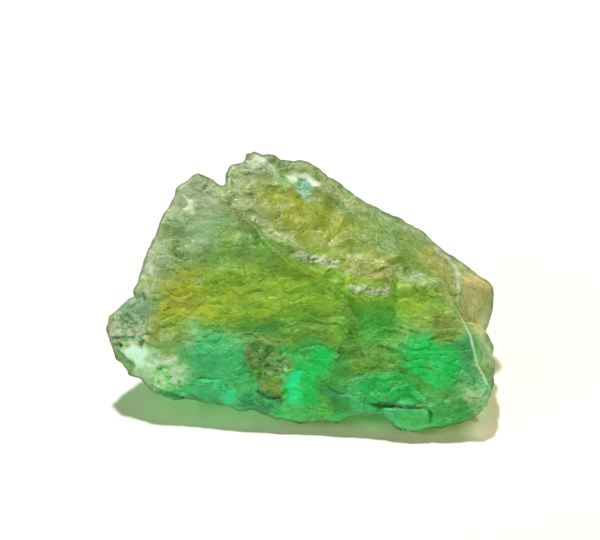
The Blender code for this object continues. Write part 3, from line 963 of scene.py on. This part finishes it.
# %% Fields kept on the skin
RELIEF_BLUR = 4                          # rounds
FORM_BLUR = 6
FORWARD = np.array((0.0, -0.82, 0.57))   # the way the stone's front looks, as a whole
CREST = (0.006, 0.020)                   # mm above the surroundings: none of a crest, and all of it
HOLLOW = (0.004, 0.016)                  # mm below them
SKIN_SHARE = 0.6                         # how much these count beside the arrises and steps of the scales
EDGE_SHADE_DEPTH = (0.06, 0.25)               # mm in from the edge: all of the painted edge shade, and none of it
EDGE_SHADE_RINGS = 8


def keep_field(mesh, name, values):
    field = mesh.attributes.new(name, "FLOAT", "POINT")
    field.data.foreach_set("value", values.astype(np.float32))


detail = ((moved - blur(moved, edges, RELIEF_BLUR)) * normals).sum(axis=1)
lively = front * bold * (0.35 + 0.65 * quiet)
wide_normals = blur(read_normals(stone.data), edges, FORM_BLUR)
wide_normals /= np.linalg.norm(wide_normals, axis=1)[:, None]
facing = wide_normals @ FORWARD
edge_depth = blur(depth_from_edge(moved, PEEL_CELL, EDGE_SHADE_RINGS)[:, None], edges, 1)[:, 0]
# painted shade: darker near the outline laid flat on the front face's plane, where the skin turns away from
# the front
edge_shade = (1.0 - smooth_step(edge_depth, *EDGE_SHADE_DEPTH)) * smooth_step(facing, -0.25, 0.0)
edge_shade *= 1.0 - np.maximum(shelf, rims)
# crest and fine_crest are masks for painted highlight, hollow and fine_hollow for painted shade
fields = {
    "crest": np.maximum(smooth_step(detail, *CREST) * SKIN_SHARE, lively * big_arris_highlight),
    "hollow": np.maximum(smooth_step(-detail, *HOLLOW) * SKIN_SHARE, lively * big_step_shade),
    "fine_crest": front * small_arris_highlight, "fine_hollow": front * small_step_shade,
    "front": front, "rims": rims, "band": band, "shelf": shelf, "thin_rims": thin_rims, "crease": crease,
    "streaks": streaks, "teal_edges": teal_edges, "olive_ridge": olive_ridge, "speckled": speckled,
    "lit": lit, "scribbled": scribbled, "edge_shade": edge_shade, "cover": cover,
    "paint_red": paint[:, 0], "paint_green": paint[:, 1], "paint_blue": paint[:, 2],
}
for name, values in fields.items():
    keep_field(stone.data, name, values)
print(len(fields), "fields kept, stained share %.3f" % edge_shade.mean())

# %% [markdown]
# ## Thin the skin out
# Most of the squares lie on calm ground and say nothing. Collapsing the least needed edges keeps the relief
# and brings the piece under a fifth of a million triangles, and smooth shading rounds what is left.

# %% Thinned skin
MOST_TRIANGLES = 196000


def thin_out(piece, most):
    thin = piece.modifiers.new("thin", "DECIMATE")
    thin.use_collapse_triangulate = True
    thin.ratio = min(1.0, most / (2 * len(piece.data.polygons)))
    bake_modifiers(piece)
    for face in piece.data.polygons:
        face.use_smooth = True


thin_out(stone, MOST_TRIANGLES)
print("thinned to", len(stone.data.polygons), "triangles")

# %% [markdown]
# ## Small tools for the material
# A material is a chain of nodes. These helpers add one node each and hand back its output, so that the
# recipes below read like sums. A number or a colour is written on the socket itself, and anything else is
# linked.

# %% Node helpers


def put(tree, socket, value):
    if isinstance(value, (int, float, tuple)):
        socket.default_value = value
    else:
        tree.links.new(value, socket)


def maths(tree, operation, *values, clamp=False):
    node = tree.nodes.new("ShaderNodeMath")
    node.operation = operation
    node.use_clamp = clamp
    for socket, value in zip(node.inputs, values):
        put(tree, socket, value)
    return node.outputs[0]


def times(tree, first, second):
    return maths(tree, "MULTIPLY", first, second)


def add_share(tree, value, share, total):
    """The total with a share of the value added to it."""
    return maths(tree, "MULTIPLY_ADD", value, share, total)


def vector_maths(tree, operation, *values):
    node = tree.nodes.new("ShaderNodeVectorMath")
    node.operation = operation
    for socket, value in zip(node.inputs, values):
        put(tree, socket, value)
    return node.outputs[0]


def scaled_vector(tree, vector, scale):
    node = tree.nodes.new("ShaderNodeVectorMath")
    node.operation = "SCALE"
    put(tree, node.inputs[0], vector)
    put(tree, node.inputs["Scale"], scale)
    return node.outputs[0]


def mix_colour(tree, factor, under, over, blend="MIX"):
    node = tree.nodes.new("ShaderNodeMix")
    node.data_type = "RGBA"
    node.blend_type = blend
    for socket, value in ((node.inputs[0], factor), (node.inputs[6], under), (node.inputs[7], over)):
        put(tree, socket, value)
    return node.outputs[2]


def field(tree, name):
    node = tree.nodes.new("ShaderNodeAttribute")
    node.attribute_name = name
    return node.outputs["Fac"]


def ramp(tree, value, low, high, start=0.0, end=1.0):
    """A smooth climb from start to end, while the value goes from low to high."""
    node = tree.nodes.new("ShaderNodeMapRange")
    node.interpolation_type = "SMOOTHSTEP"
    for name, given in (("Value", value), ("From Min", low), ("From Max", high),
                        ("To Min", start), ("To Max", end)):
        put(tree, node.inputs[name], given)
    return node.outputs["Result"]


print("node helpers ready")

# %% [markdown]
# ## Noises, threads and a net
# Three patterns make every mark in the stone. Plain noise gives mottling and grain. Noise folded at its
# middle gives thin wandering threads, like healed cracks. A warped Voronoi edge gives the net of crushed
# crystal on the ledge. All of them are worked out in millimetres on the stone, so they keep their size.

# %% Patterns
THREAD_DETAIL = 2.0
THREAD_BEND = 0.8
THREAD_CONTRAST = 1.5
NET_BEND = (0.5, 0.5, 0.5)               # mm
NET_BEND_PER_MM = 2.2
NET_THREAD = (0.05, 0.26)                # as shares of a mesh: all thread, and none


def noise_node(tree, place, per_mm, detail, distortion, shift=(0.0, 0.0, 0.0)):
    node = tree.nodes.new("ShaderNodeTexNoise")
    put(tree, node.inputs["Vector"], vector_maths(tree, "MULTIPLY_ADD", place, per_mm, shift))
    node.inputs["Scale"].default_value = 1.0
    node.inputs["Detail"].default_value = detail
    node.inputs["Distortion"].default_value = distortion
    return node.outputs["Fac"]


def thin_lines(tree, place, per_mm, sharpness, shift):
    """Noise folded at its middle: thin bright lines where it crosses, dark between."""
    value = noise_node(tree, place, per_mm, THREAD_DETAIL, THREAD_BEND, shift)
    away = maths(tree, "ABSOLUTE", maths(tree, "SUBTRACT", value, 0.5))
    near = maths(tree, "MULTIPLY_ADD", away, -2.0 * sharpness, 1.0, clamp=True)
    return maths(tree, "POWER", near, THREAD_CONTRAST)


def noise_push(tree, place, per_mm, detail, reach):
    """The place pushed about by three noises, by up to half the reach each way."""
    warp = tree.nodes.new("ShaderNodeTexNoise")
    put(tree, warp.inputs["Vector"], place)
    warp.inputs["Scale"].default_value = per_mm
    warp.inputs["Detail"].default_value = detail
    centred = vector_maths(tree, "SUBTRACT", warp.outputs["Color"], (0.5, 0.5, 0.5))
    return vector_maths(tree, "MULTIPLY_ADD", centred, reach, place)


def net_lines(tree, place, per_mm):
    """A fine net: one on its threads, nothing in its meshes."""
    cells = tree.nodes.new("ShaderNodeTexVoronoi")
    cells.feature = "DISTANCE_TO_EDGE"
    put(tree, cells.inputs["Vector"], noise_push(tree, place, NET_BEND_PER_MM, 2.0, NET_BEND))
    cells.inputs["Scale"].default_value = per_mm
    return ramp(tree, cells.outputs["Distance"], *NET_THREAD, 1.0, 0.0)


print("pattern helpers ready")

# %% [markdown]
# ## Clouds of colour
# Under the patches, the whole stone is shaded by large soft clouds: teal at the foot, yellow-green in the
# heart, pale sage towards the thin edges, beige at the right end. They reach round the back, where the
# patches don't. One node group makes a cloud, and it is placed once for each row, each laid over the ones
# before.

# %% Cloud group


def cloud_group():
    """A soft cloud of one colour: full in its middle, gone at its reach."""
    group = bpy.data.node_groups.new("cloud_of_colour", "ShaderNodeTree")
    for label, kind in (("Place", "Vector"), ("Middle", "Vector"), ("Reach", "Vector"), ("Core", "Float"),
                        ("Strength", "Float"), ("Under", "Color"), ("Tint", "Color")):
        group.interface.new_socket(label, in_out="INPUT", socket_type="NodeSocket" + kind)
    group.interface.new_socket("Colour", in_out="OUTPUT", socket_type="NodeSocketColor")
    start = group.nodes.new("NodeGroupInput").outputs
    end = group.nodes.new("NodeGroupOutput").inputs
    away = vector_maths(group, "SUBTRACT", start["Place"], start["Middle"])
    share = vector_maths(group, "DIVIDE", away, start["Reach"])
    size = group.nodes.new("ShaderNodeVectorMath")
    size.operation = "LENGTH"
    put(group, size.inputs[0], share)
    fade = ramp(group, size.outputs["Value"], start["Core"], 1.0, 1.0, 0.0)
    mixed = mix_colour(group, times(group, fade, start["Strength"]), start["Under"], start["Tint"])
    put(group, end["Colour"], mixed)
    return group


cloud = cloud_group()
print("cloud group with", len(cloud.nodes), "nodes")

# %% [markdown]
# ## Where the clouds lie
# The widest clouds come first and set the ground, teal along the foot and yellow-green above it. Smaller
# ones then correct it place by place, down to a few millimetres across. One noise over the whole stone
# would be less to write, but each part of this stone has a colour of its own, and it has to be told where
# that is.

# %% Rows of clouds
# middle and reach in mm, core (0 soft to 1 sharp), strength, colour
CLOUDS = [
    ("foot", (0.0, -5.0, 0.0), (18.0, 18.0, 5.0), 0.5, 1.0, TEAL),
    ("yellow_green_heart", (0.3, -1.5, 6.7), (11.5, 8.0, 3.2), 0.5, 1.0, LIME),
    ("green_end", (8.2, -4.2, 3.7), (4.0, 3.4, 2.4), 0.5, 0.9, GREEN),
    ("left_yellow", (-7.2, -2.0, 6.4), (2.6, 3.0, 2.2), 0.3, 0.95, YELLOW),
    ("middle_yellow", (-3.9, -2.0, 6.3), (3.6, 2.6, 1.3), 0.1, 0.6, YELLOW),
    ("mid_green", (-3.8, 0.2, 9.2), (3.4, 3.0, 1.6), 0.1, 0.75, SOFT_GREEN),
    ("upper_left", (-6.2, 1.2, 10.0), (2.4, 2.4, 1.8), 0.2, 0.85, MIST),
    ("slab_back_edge", (3.4, 5.2, 9.4), (3.6, 0.9, 1.8), 0.3, 0.5, SAGE),
    ("teal_left", (-5.4, -4.2, 3.7), (2.9, 2.2, 2.3), 0.35, 0.9, TEAL),
    ("green_right", (4.3, -2.9, 5.4), (3.4, 2.4, 1.5), 0.2, 0.9, GRASS),
    # right_bright, right_low_bright and glow_halo: bright green with the light let through painted in
    ("right_bright", (7.6, -4.4, 4.0), (3.2, 2.6, 1.7), 0.35, 1.0, LIT_EMERALD),
    ("right_low_bright", (5.4, -5.5, 2.9), (2.6, 1.4, 0.9), 0.3, 0.9, LIT_EMERALD),
    ("glow_halo", (0.9, -5.3, 2.6), (2.0, 1.6, 1.6), 0.4, 0.8, GREEN),
    ("dark_inclusion", (-2.7, -4.2, 3.8), (1.9, 2.0, 2.2), 0.35, 0.5, DEEP),
    ("olive_middle", (3.3, -4.3, 4.0), (2.3, 2.2, 1.5), 0.3, 0.75, MID_OLIVE),
    ("olive_belt", (0.2, -3.3, 5.1), (3.0, 2.2, 0.85), 0.3, 0.75, BELT_OLIVE),
    ("green_foot", (1.9, -6.0, 1.7), (1.4, 1.4, 1.2), 0.2, 0.7, DEEP),
    ("left_tip", (-10.8, -2.4, 4.8), (1.7, 2.4, 1.7), 0.4, 0.9, PALE_SAGE),
    ("tip_foot", (-9.6, -4.3, 2.4), (1.2, 1.4, 0.7), 0.3, 0.8, PALE_SAGE),
    ("left_edge", (-9.3, -0.2, 8.2), (1.5, 2.6, 3.6), 0.4, 0.85, PALE_SAGE),
    ("left_peak", (-6.8, 2.4, 11.6), (2.8, 2.4, 2.2), 0.35, 0.9, PALE_SAGE),
    ("back_peak", (-3.2, 4.0, 12.2), (2.4, 2.4, 1.6), 0.3, 0.85, SAGE),
    ("beige_block", (11.0, 1.0, 4.4), (1.6, 3.0, 2.1), 0.7, 1.0, BEIGE),
    ("end_facet", (11.5, -3.5, 3.4), (0.85, 2.0, 1.6), 0.6, 0.8, SAGE),
]


def lay_clouds(tree, place, under):
    for name, middle, reach, core, strength, tint in CLOUDS:
        node = tree.nodes.new("ShaderNodeGroup")
        node.node_tree = cloud
        node.label = name
        for label, value in (("Place", place), ("Middle", middle), ("Reach", reach), ("Core", core),
                             ("Strength", strength), ("Under", under), ("Tint", tint)):
            put(tree, node.inputs[label], value)
        under = node.outputs["Colour"]
    return under


print(len(CLOUDS), "clouds")

# %% [markdown]
# ## Light and dark strokes
# Seen close, the stone is full of strokes: pale and dark threads that lie flat in the front face, a finer
# crackle on the rough sides, curls, speckle and grain, besides the painted highlight on the crests and the
# painted shade in the hollows of the relief. They are all summed into one grey, where a half means no change,
# and that grey is laid over the colour at the end. Doing it once keeps the marks equally strong in every
# colour.

# %% Strokes and tone
# for each kind of thread: how many per mm along x, y and z, how sharp, and a shift of the noise
FACE_PALE = ((0.80, 0.80, 2.4), 6.0, (0.0, 0.0, 0.0))
SIDE_PALE = ((2.1, 2.1, 2.1), 4.0, (3.0, 8.0, 1.0))
FACE_DARK = ((0.70, 0.70, 2.2), 6.0, (11.0, 4.0, 7.0))
SIDE_DARK = ((1.8, 1.8, 1.8), 4.0, (7.0, 1.0, 9.0))
CURLS = ((2.6, 2.6, 2.6), 4.5, (6.0, 2.0, 3.0))
FACE_THREADS = 0.8                       # how strong the threads of the front face are
CURLS_STRENGTH = 1.2
# painted highlight on crests and arrises, painted shade in hollows, steps and creases
FIELD_TONES = (("crest", 0.22), ("hollow", -0.26), ("fine_crest", 0.16), ("fine_hollow", -0.20),
               ("crease", -0.24))
PLAIN_TONE = 0.48                        # the grey where nothing is added
PALE_TONE = 0.26
DARK_TONE = -0.18
CURLS_TONE = 0.13
GRAIN_TONE = 0.34
SPECKLE_TONE = 2.2
MOTTLE_TONE = 0.14
MOTTLE_TONE_FACE = 0.46                  # what the front face adds to it
# for each noise: how many cells per mm along x, y and z, how much detail, how distorted, and a shift
STRETCHES = ((0.7, 0.7, 0.9), 1.0, 0.0, (5.0, 5.0, 5.0))
MOTTLE = ((0.9, 0.9, 1.3), 4.0, 0.0)
SPECKLE = ((2.6, 2.6, 3.2), 3.0, 0.4, (4.0, 4.0, 4.0))
FINE_GRAIN = ((7.0, 7.0, 7.0), 3.0, 0.0)
IN_STRETCHES = (0.42, 0.62)              # the pale threads come and go between these


def two_threads(tree, mm, face_share, face_kind, side_share, side_kind):
    """One kind of thread on the front face, and another everywhere else."""
    return maths(tree, "ADD", times(tree, thin_lines(tree, mm, *face_kind), face_share),
                 times(tree, thin_lines(tree, mm, *side_kind), side_share))


def strokes(tree, mm):
    """Pale strokes, dark strokes, curls and grain, the share of front face, and the share of the rest."""
    front = field(tree, "front")
    other = maths(tree, "SUBTRACT", 1.0, front)
    on_front = times(tree, front, FACE_THREADS)
    pale = two_threads(tree, mm, on_front, FACE_PALE, other, SIDE_PALE)
    dark = two_threads(tree, mm, on_front, FACE_DARK, other, SIDE_DARK)
    curls = times(tree, thin_lines(tree, mm, *CURLS), CURLS_STRENGTH)
    grain = noise_node(tree, mm, *FINE_GRAIN)
    return pale, dark, curls, grain, front, other


def tone_of(tree, mm, swayed, pale, dark, curls, grain, front, other):
    """All the strokes, the mottling, and the painted highlight and shade of the relief as one grey, a half
    where nothing changes.
    """
    some = ramp(tree, noise_node(tree, mm, *STRETCHES), *IN_STRETCHES)
    mottle = noise_node(tree, swayed, *MOTTLE)
    speckle = noise_node(tree, mm, *SPECKLE)
    tone = add_share(tree, times(tree, pale, some), PALE_TONE, PLAIN_TONE)
    tone = add_share(tree, dark, DARK_TONE, tone)
    tone = add_share(tree, times(tree, curls, other), CURLS_TONE, tone)
    tone = add_share(tree, maths(tree, "SUBTRACT", mottle, 0.5),
                     add_share(tree, front, MOTTLE_TONE_FACE, MOTTLE_TONE), tone)
    tone = add_share(tree, maths(tree, "SUBTRACT", speckle, 0.5),
                     times(tree, field(tree, "speckled"), SPECKLE_TONE), tone)
    tone = add_share(tree, maths(tree, "SUBTRACT", grain, 0.5), GRAIN_TONE, tone)
    for name, share in FIELD_TONES:
        tone = add_share(tree, field(tree, name), share, tone)
    grey = tree.nodes.new("ShaderNodeCombineColor")
    for socket in grey.inputs[:3]:
        put(tree, socket, tone)
    return grey.outputs[0]


print("tone from", len(FIELD_TONES), "fields and six patterns")

# %% [markdown]
# ## The body colour
# From the bottom up: the clouds, a greener mottling, the painted patches, and the milky threads that cross
# the left side. Each is mixed over the last by its own mask, the way glazes are laid.

# %% Body colour
GREENER = ((0.5, 0.5, 1.2), 3.0, 0.0, (2.0, 9.0, 4.0))
GREENER_FROM = (0.48, 0.70)
GREENER_SHARE = 0.35
MILKY_STRETCHES = ((1.1, 1.1, 1.1), 1.0, 0.0, (8.0, 3.0, 3.0))
IN_MILKY_STRETCHES = (0.47, 0.60)
MILKY_THREADS = ((1.5, 1.5, 2.4), 6.5, (2.0, 2.0, 8.0))
THREADS_ANYWHERE = 0.10                  # how strong the milky threads are on the whole stone
THREADS_SCRIBBLED = 0.75                 # and what the scribbled places add to that


def body_colour(tree, mm, swayed):
    under = lay_clouds(tree, swayed, GREY_GREEN)
    greener = ramp(tree, noise_node(tree, swayed, *GREENER), *GREENER_FROM)
    under = mix_colour(tree, times(tree, greener, GREENER_SHARE), under, MOTTLE_GREEN)
    painted = tree.nodes.new("ShaderNodeCombineColor")
    for socket, channel in zip(painted.inputs[:3], ("red", "green", "blue")):
        put(tree, socket, field(tree, "paint_" + channel))
    under = mix_colour(tree, field(tree, "cover"), under, painted.outputs[0])
    some = ramp(tree, noise_node(tree, mm, *MILKY_STRETCHES), *IN_MILKY_STRETCHES)
    threads = times(tree, thin_lines(tree, mm, *MILKY_THREADS), some)
    how_milky = add_share(tree, field(tree, "scribbled"), THREADS_SCRIBBLED, THREADS_ANYWHERE)
    return mix_colour(tree, times(tree, threads, how_milky), under, MILK)


print("body colour in four layers")

# %% [markdown]
# ## The ledge and the edges
# The ledge is crushed crystal: a pale band along its top, a net of threads over its shelf and its lump,
# crumbly lace along its two rims, and short upright streaks to the right. The edges come last: a painted
# highlight along the arrises of the right end, teal lines at the tip, an olive ridge by the table, and
# painted shade round the outer edge.

# %% Ledge and edge colours
NET_PER_MM = 2.4
RIM_STRANDS = ((1.7, 1.7, 3.4), 5.0, (9.0, 2.0, 2.0))
UPRIGHT_BARS = ((1.4, 1.4, 0.2), 3.0, (1.0, 1.0, 1.0))
BAND_STRENGTH = 0.45
NET_STRENGTH = 0.75
RIM_STRENGTH = 0.75
BARS_STRENGTH = 0.65
# thin_rims gets a painted highlight along the arrises, and the last row is painted shade round the outer edge
EDGES = (("thin_rims", 0.85, ARRIS_HIGHLIGHT), ("teal_edges", 0.75, EDGE_TEAL), ("olive_ridge", 0.4, OLIVE),
         ("edge_shade", 0.72, EDGE_SHADE))


def ledge_colour(tree, mm, under, curls):
    lace = add_share(tree, net_lines(tree, mm, NET_PER_MM), 0.35, times(tree, curls, 0.75))
    under = mix_colour(tree, times(tree, field(tree, "band"), BAND_STRENGTH), under, BAND_PALE)
    weave = add_share(tree, field(tree, "band"), 0.5, field(tree, "shelf"))
    under = mix_colour(tree, times(tree, weave, times(tree, lace, NET_STRENGTH)), under, NET_PALE)
    strands = thin_lines(tree, mm, *RIM_STRANDS)
    under = mix_colour(tree, times(tree, field(tree, "rims"), RIM_STRENGTH), under, RIM_DARK)
    frill = times(tree, field(tree, "rims"), add_share(tree, lace, 0.6, strands))
    under = mix_colour(tree, frill, under, RIM_PALE)
    bars = thin_lines(tree, mm, *UPRIGHT_BARS)
    streaks = times(tree, field(tree, "streaks"), times(tree, bars, BARS_STRENGTH))
    return mix_colour(tree, streaks, under, BAR_PALE)


def edge_colour(tree, under):
    for name, share, tint in EDGES:
        under = mix_colour(tree, times(tree, field(tree, name), share), under, tint)
    return under


print("ledge and edge colours ready")

# %% [markdown]
# ## The light that gets through
# Clear beryl lets light through, and what reaches the table is coloured by the stone: green by the foot,
# tan higher up, palest at the thin right end. Tracing that light through every scale is slow and comes out
# grainy, so a shadow ray is let straight through with a tint, and all other rays meet the real surface.

# %% Light let through
GREEN_LIGHT = (0.10, 0.27, 0.04, 1.0)
TAN_LIGHT = (0.26, 0.19, 0.02, 1.0)
PALE_LIGHT = (0.63, 0.53, 0.45, 1.0)
GREEN_TO_TAN = (0.5, 5.0)                # mm up the stone
TO_PALE = (9.0, 11.0)                    # mm to the right of the middle
LEAN = 0.35                              # how many mm higher the tan begins for each mm to the left


def through_colour(tree, mm):
    """The tint of the light that gets through the stone at each place."""
    parts = tree.nodes.new("ShaderNodeSeparateXYZ")
    put(tree, parts.inputs[0], mm)
    climb = add_share(tree, parts.outputs["X"], LEAN, parts.outputs["Z"])
    green_to_tan = mix_colour(tree, ramp(tree, climb, *GREEN_TO_TAN), GREEN_LIGHT, TAN_LIGHT)
    return mix_colour(tree, ramp(tree, parts.outputs["X"], *TO_PALE), green_to_tan, PALE_LIGHT)


def let_shadow_rays_through(tree, surface, mm):
    clear = tree.nodes.new("ShaderNodeBsdfTransparent")
    put(tree, clear.inputs["Color"], through_colour(tree, mm))
    rays = tree.nodes.new("ShaderNodeLightPath")
    choose = tree.nodes.new("ShaderNodeMixShader")
    put(tree, choose.inputs[0], rays.outputs["Is Shadow Ray"])
    put(tree, choose.inputs[1], surface)
    put(tree, choose.inputs[2], clear.outputs[0])
    return choose.outputs[0]


print("shadow tint ready")

# %% [markdown]
# ## The emerald itself
# The stone is milky, so less than half of its surface is clear glass with beryl's refraction, and the rest
# scatters light in its own colour. Light that has wandered about inside is painted in as a faint glow, which
# is stronger in the places marked as lit: the bright window, the painted highlights and the white spots.
# Absorption deepens the green where the stone is thick. True subsurface scattering would do the glow by
# itself, but in a stone this rough it is slow and blurs the fine strokes away.

# %% Emerald material
CLEAR_SHARE = 0.40
BERYL_IOR = 1.58
GLOW = 0.33
GLOW_ANYWHERE = 0.30                     # the share of it that the whole stone has
GLOW_LIT_PLACES = 0.70                  # and what the places marked as lit add to that, as painted light
SHEEN = 0.25
TONE_STRENGTH = 0.9
ROUGHNESS = 0.48
ROUGHER_FACE = 0.08
ROUGHNESS_GRAIN = 0.25
BUMP_HEIGHT = 0.035 * MM
BUMP_STRENGTH = 0.7
STROKE_HEIGHT = 0.5                      # a pale stroke stands up, and a dark one is cut in
ABSORBED = (0.42, 0.88, 0.34, 1.0)
ABSORPTION = 70.0                        # per metre
CLOUD_SWAY = (2.2, 2.2, 1.6)             # mm
CLOUD_SWAY_PER_MM = 0.9


def emerald_material():
    material = bpy.data.materials.new("cloudy_emerald")
    material.use_nodes = True
    tree = material.node_tree
    shader = tree.nodes["Principled BSDF"]
    out = tree.nodes["Material Output"]
    mm = scaled_vector(tree, tree.nodes.new("ShaderNodeTexCoord").outputs["Object"], 1.0 / MM)
    swayed = noise_push(tree, mm, CLOUD_SWAY_PER_MM, 4.0, CLOUD_SWAY)
    pale, dark, curls, grain, front, other = strokes(tree, mm)
    surface = edge_colour(tree, ledge_colour(tree, mm, body_colour(tree, mm, swayed), curls))
    grey = tone_of(tree, mm, swayed, pale, dark, curls, grain, front, other)
    surface = mix_colour(tree, TONE_STRENGTH, surface, grey, "OVERLAY")
    put(tree, shader.inputs["Base Color"], surface)
    glowing = add_share(tree, field(tree, "lit"), GLOW_LIT_PLACES, GLOW_ANYWHERE)
    put(tree, shader.inputs["Emission Color"], scaled_vector(tree, surface, glowing))
    shader.inputs["Emission Strength"].default_value = GLOW
    grained = maths(tree, "SUBTRACT", grain, 0.5)
    even = add_share(tree, front, ROUGHER_FACE, ROUGHNESS)
    put(tree, shader.inputs["Roughness"], add_share(tree, grained, ROUGHNESS_GRAIN, even))
    shader.inputs["IOR"].default_value = BERYL_IOR
    shader.inputs["Transmission Weight"].default_value = CLEAR_SHARE
    shader.inputs["Specular IOR Level"].default_value = SHEEN
    bump = tree.nodes.new("ShaderNodeBump")
    bump.inputs["Distance"].default_value = BUMP_HEIGHT
    bump.inputs["Strength"].default_value = BUMP_STRENGTH
    raised = add_share(tree, pale, STROKE_HEIGHT, grain)
    put(tree, bump.inputs["Height"], add_share(tree, dark, -STROKE_HEIGHT, raised))
    put(tree, shader.inputs["Normal"], bump.outputs["Normal"])
    put(tree, out.inputs["Surface"], let_shadow_rays_through(tree, shader.outputs[0], mm))
    absorb = tree.nodes.new("ShaderNodeVolumeAbsorption")
    absorb.inputs["Color"].default_value = ABSORBED
    absorb.inputs["Density"].default_value = ABSORPTION
    put(tree, out.inputs["Volume"], absorb.outputs[0])
    return material


stone.data.materials.append(emerald_material())
print("material", stone.data.materials[0].name, "with", len(stone.data.materials[0].node_tree.nodes), "nodes")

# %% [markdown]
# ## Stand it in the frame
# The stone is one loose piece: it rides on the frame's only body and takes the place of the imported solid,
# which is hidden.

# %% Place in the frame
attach(stone, "root")
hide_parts("emerald")
